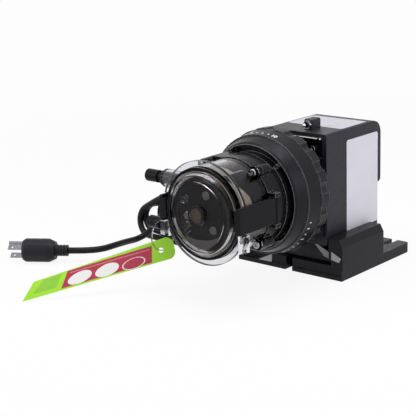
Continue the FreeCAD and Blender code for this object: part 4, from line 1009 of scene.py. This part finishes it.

# Painted light and shade: highlights on edges and the lip, shade lines on the clear rim, lit facets and
# a reflection in the cover
# Painted highlight along the lip of the opening in the housing's front
lip_highlight_grey = worked_material("lip_highlight_grey", (0.62, 0.61, 0.64), 0.25, spread=0.05, edge=0.1)
# Painted highlights along the case's and the dial's edges
case_highlight_grey = worked_material("case_highlight_grey", (0.32, 0.315, 0.33), 0.22, spread=0.2, edge=0.1)
ring_highlight_grey = worked_material("ring_highlight_grey", (0.10, 0.098, 0.105), 0.2, spread=0.2, edge=0.1)
# Painted light on the faces in front that catch it
lit_facet_grey = worked_material("lit_facet_grey", (0.42, 0.40, 0.44), 0.4, spread=0.06, edge=0.1,
                             specular=0.2)
# Painted reflection low in the clear cover
reflection_grey = worked_material("reflection_grey", (0.10, 0.091, 0.087), 0.45, spread=0.25, edge=0.1)
# Painted highlight along the edge of the lining
lining_highlight_pale = worked_material("lining_highlight_pale", (0.42, 0.40, 0.38), 0.30, spread=0.1, edge=0.2)
# Painted shade lines along the clear flange's rim
rim_shade_grey = worked_material("rim_shade_grey", (0.16, 0.16, 0.17), 0.25, spread=0.1, edge=0.1)

# Metals
black_steel = worked_material("black_steel", (0.34, 0.34, 0.38), 0.18, metallic=1.0, spread=0.1,
                              edge=0.4)
dark_steel = worked_material("dark_steel", (0.06, 0.052, 0.042), 0.30, metallic=1.0, spread=0.1,
                             edge=0.3)
pin_grey = worked_material("pin_grey", (0.20, 0.20, 0.195), 0.34, metallic=1.0, spread=0.08, edge=0.3)
steel = worked_material("steel", (0.62, 0.62, 0.63), 0.24, metallic=1.0, spread=0.05, edge=0.15)
blade_steel = worked_material("blade_steel", (0.27, 0.27, 0.29), 0.22, metallic=1.0, spread=0.05,
                              edge=0.15)
sheet_steel = worked_material("sheet_steel", (0.42, 0.42, 0.44), 0.36, metallic=1.0, spread=0.08,
                              edge=0.1)
copper = worked_material("copper", (0.50, 0.20, 0.08), 0.35, metallic=0.8, spread=0.15, edge=0.3)
bronze = worked_material("bronze", (0.45, 0.30, 0.14), 0.38, metallic=1.0, edge=0.15)

# Plastics and rubber inside the pump
bush_brown = worked_material("bush_brown", (0.035, 0.02, 0.012), 0.40, spread=0.15, edge=0.3,
                             specular=0.3)
nylon = worked_material("nylon", (0.62, 0.60, 0.55), 0.45, spread=0.04, edge=0.2)
roller_grey = worked_material("roller_grey", (0.03, 0.03, 0.032), 0.35, spread=0.08, edge=0.3)
tube_beige = worked_material("tube_beige", (0.46, 0.38, 0.26), 0.42, spread=0.06, edge=0.3)
tube_end_grey = worked_material("tube_end_grey", (0.075, 0.072, 0.075), 0.3, spread=0.1, edge=0.3)

# Clear plastics
clear_shell = clear_material("clear_shell", (0.74, 0.74, 0.77), 0.03, bend=1.3, sheen=(0.3, 0.3, 0.34))
clear_rib = clear_material("clear_rib", (0.80, 0.80, 0.82), 0.05, bend=1.4, sheen=(0.8, 0.8, 0.85))
clear_cover = clear_material("clear_cover", (0.62, 0.60, 0.61), 0.02, bend=1.22, sheen=(0.7, 0.7, 0.75))

# The tag and what is printed on it and on the dial, and the labels
tag_green = worked_material("tag_green", (0.36, 0.74, 0.028), 0.4, spread=0.03, edge=0.1)
tag_dark_green = worked_material("tag_dark_green", (0.27, 0.57, 0.05), 0.45, spread=0.12, edge=0.1)
tag_magenta = worked_material("tag_magenta", (0.43, 0.032, 0.068), 0.4, spread=0.04, edge=0.1)
tag_pink = worked_material("tag_pink", (0.62, 0.22, 0.24), 0.4, spread=0.04, edge=0.1)
tag_white = plain_material("tag_white", (0.85, 0.84, 0.82), 0.45)
print_white = plain_material("print_white", (0.86, 0.86, 0.84), 0.5)
label_white = worked_material("label_white", (0.68, 0.67, 0.75), 0.5, spread=0.02, edge=0.1)
label_pale = worked_material("label_pale", (0.49, 0.48, 0.53), 0.5, spread=0.02, edge=0.1)

paint(housing_black, "motor_housing", "rear_cover", "switch_block")
paint(bracket_black, "mounting_bracket")
paint(dial_black, "dial_ring")
paint(drum_black, "gear_case", "head_adapter", "gear_case_back", "gear_partition")
paint(latch_black, "right_latch", "left_latch")
paint(head_black, "front_roller_carrier", "rear_roller_carrier")
paint(nut_black, "suction_nut", "discharge_nut", "tube_ferrules")
paint(cord_black, "strain_relief")
paint(plug_black, "plug_body")
paint(black_steel, "head_screws")
paint(steel, "cover_screws", "fascia_screw", "adapter_screws", "motor_studs", "latch_pins",
      "switch_lever", "rotor_shaft", "gear_stud")
paint(dark_steel, "main_shaft")
paint(pin_grey, "roller_pins")
paint(bush_brown, "cover_bush")
paint(blade_steel, "plug_blades")
paint(sheet_steel, "front_motor_bracket", "rear_motor_bracket", "index_plate", "stator_laminations",
      "rotor")
paint(copper, "stator_coil")
paint(bronze, "shaft_bushes", "motor_pinion", "reduction_pinion")
paint(nylon, "reduction_gear", "output_gear", "cooling_fan", "variable_cam")
paint(roller_grey, "roller_1", "roller_2", "roller_3")
paint(clear_shell, "tube_housing")
paint(clear_cover, "head_cover", "tag_tie")
paint(tag_green, "hang_tag")

make_cord(cord_black)
add_tube()
add_guide()
add_tube_edge()
add_cover_frost()
add_cover_ribs()
add_pin_caps()
# Painted shade lines on the clear flange's rim, and painted highlights on the dial's and the case's
# edges
add_beads("rim_shade_lines", RIM_SHADE_LINES, rim_shade_grey, "pump")
add_beads("ring_highlights", RING_HIGHLIGHTS, ring_highlight_grey, "dial")
add_beads("case_highlights", CASE_HIGHLIGHTS, case_highlight_grey, "pump")
add_facets()
add_switch_nut()
add_fascia_trim()
add_dial_marks()
add_tag_print(1, "tag_front")
add_tag_print(-1, "tag_back")
add_labels()
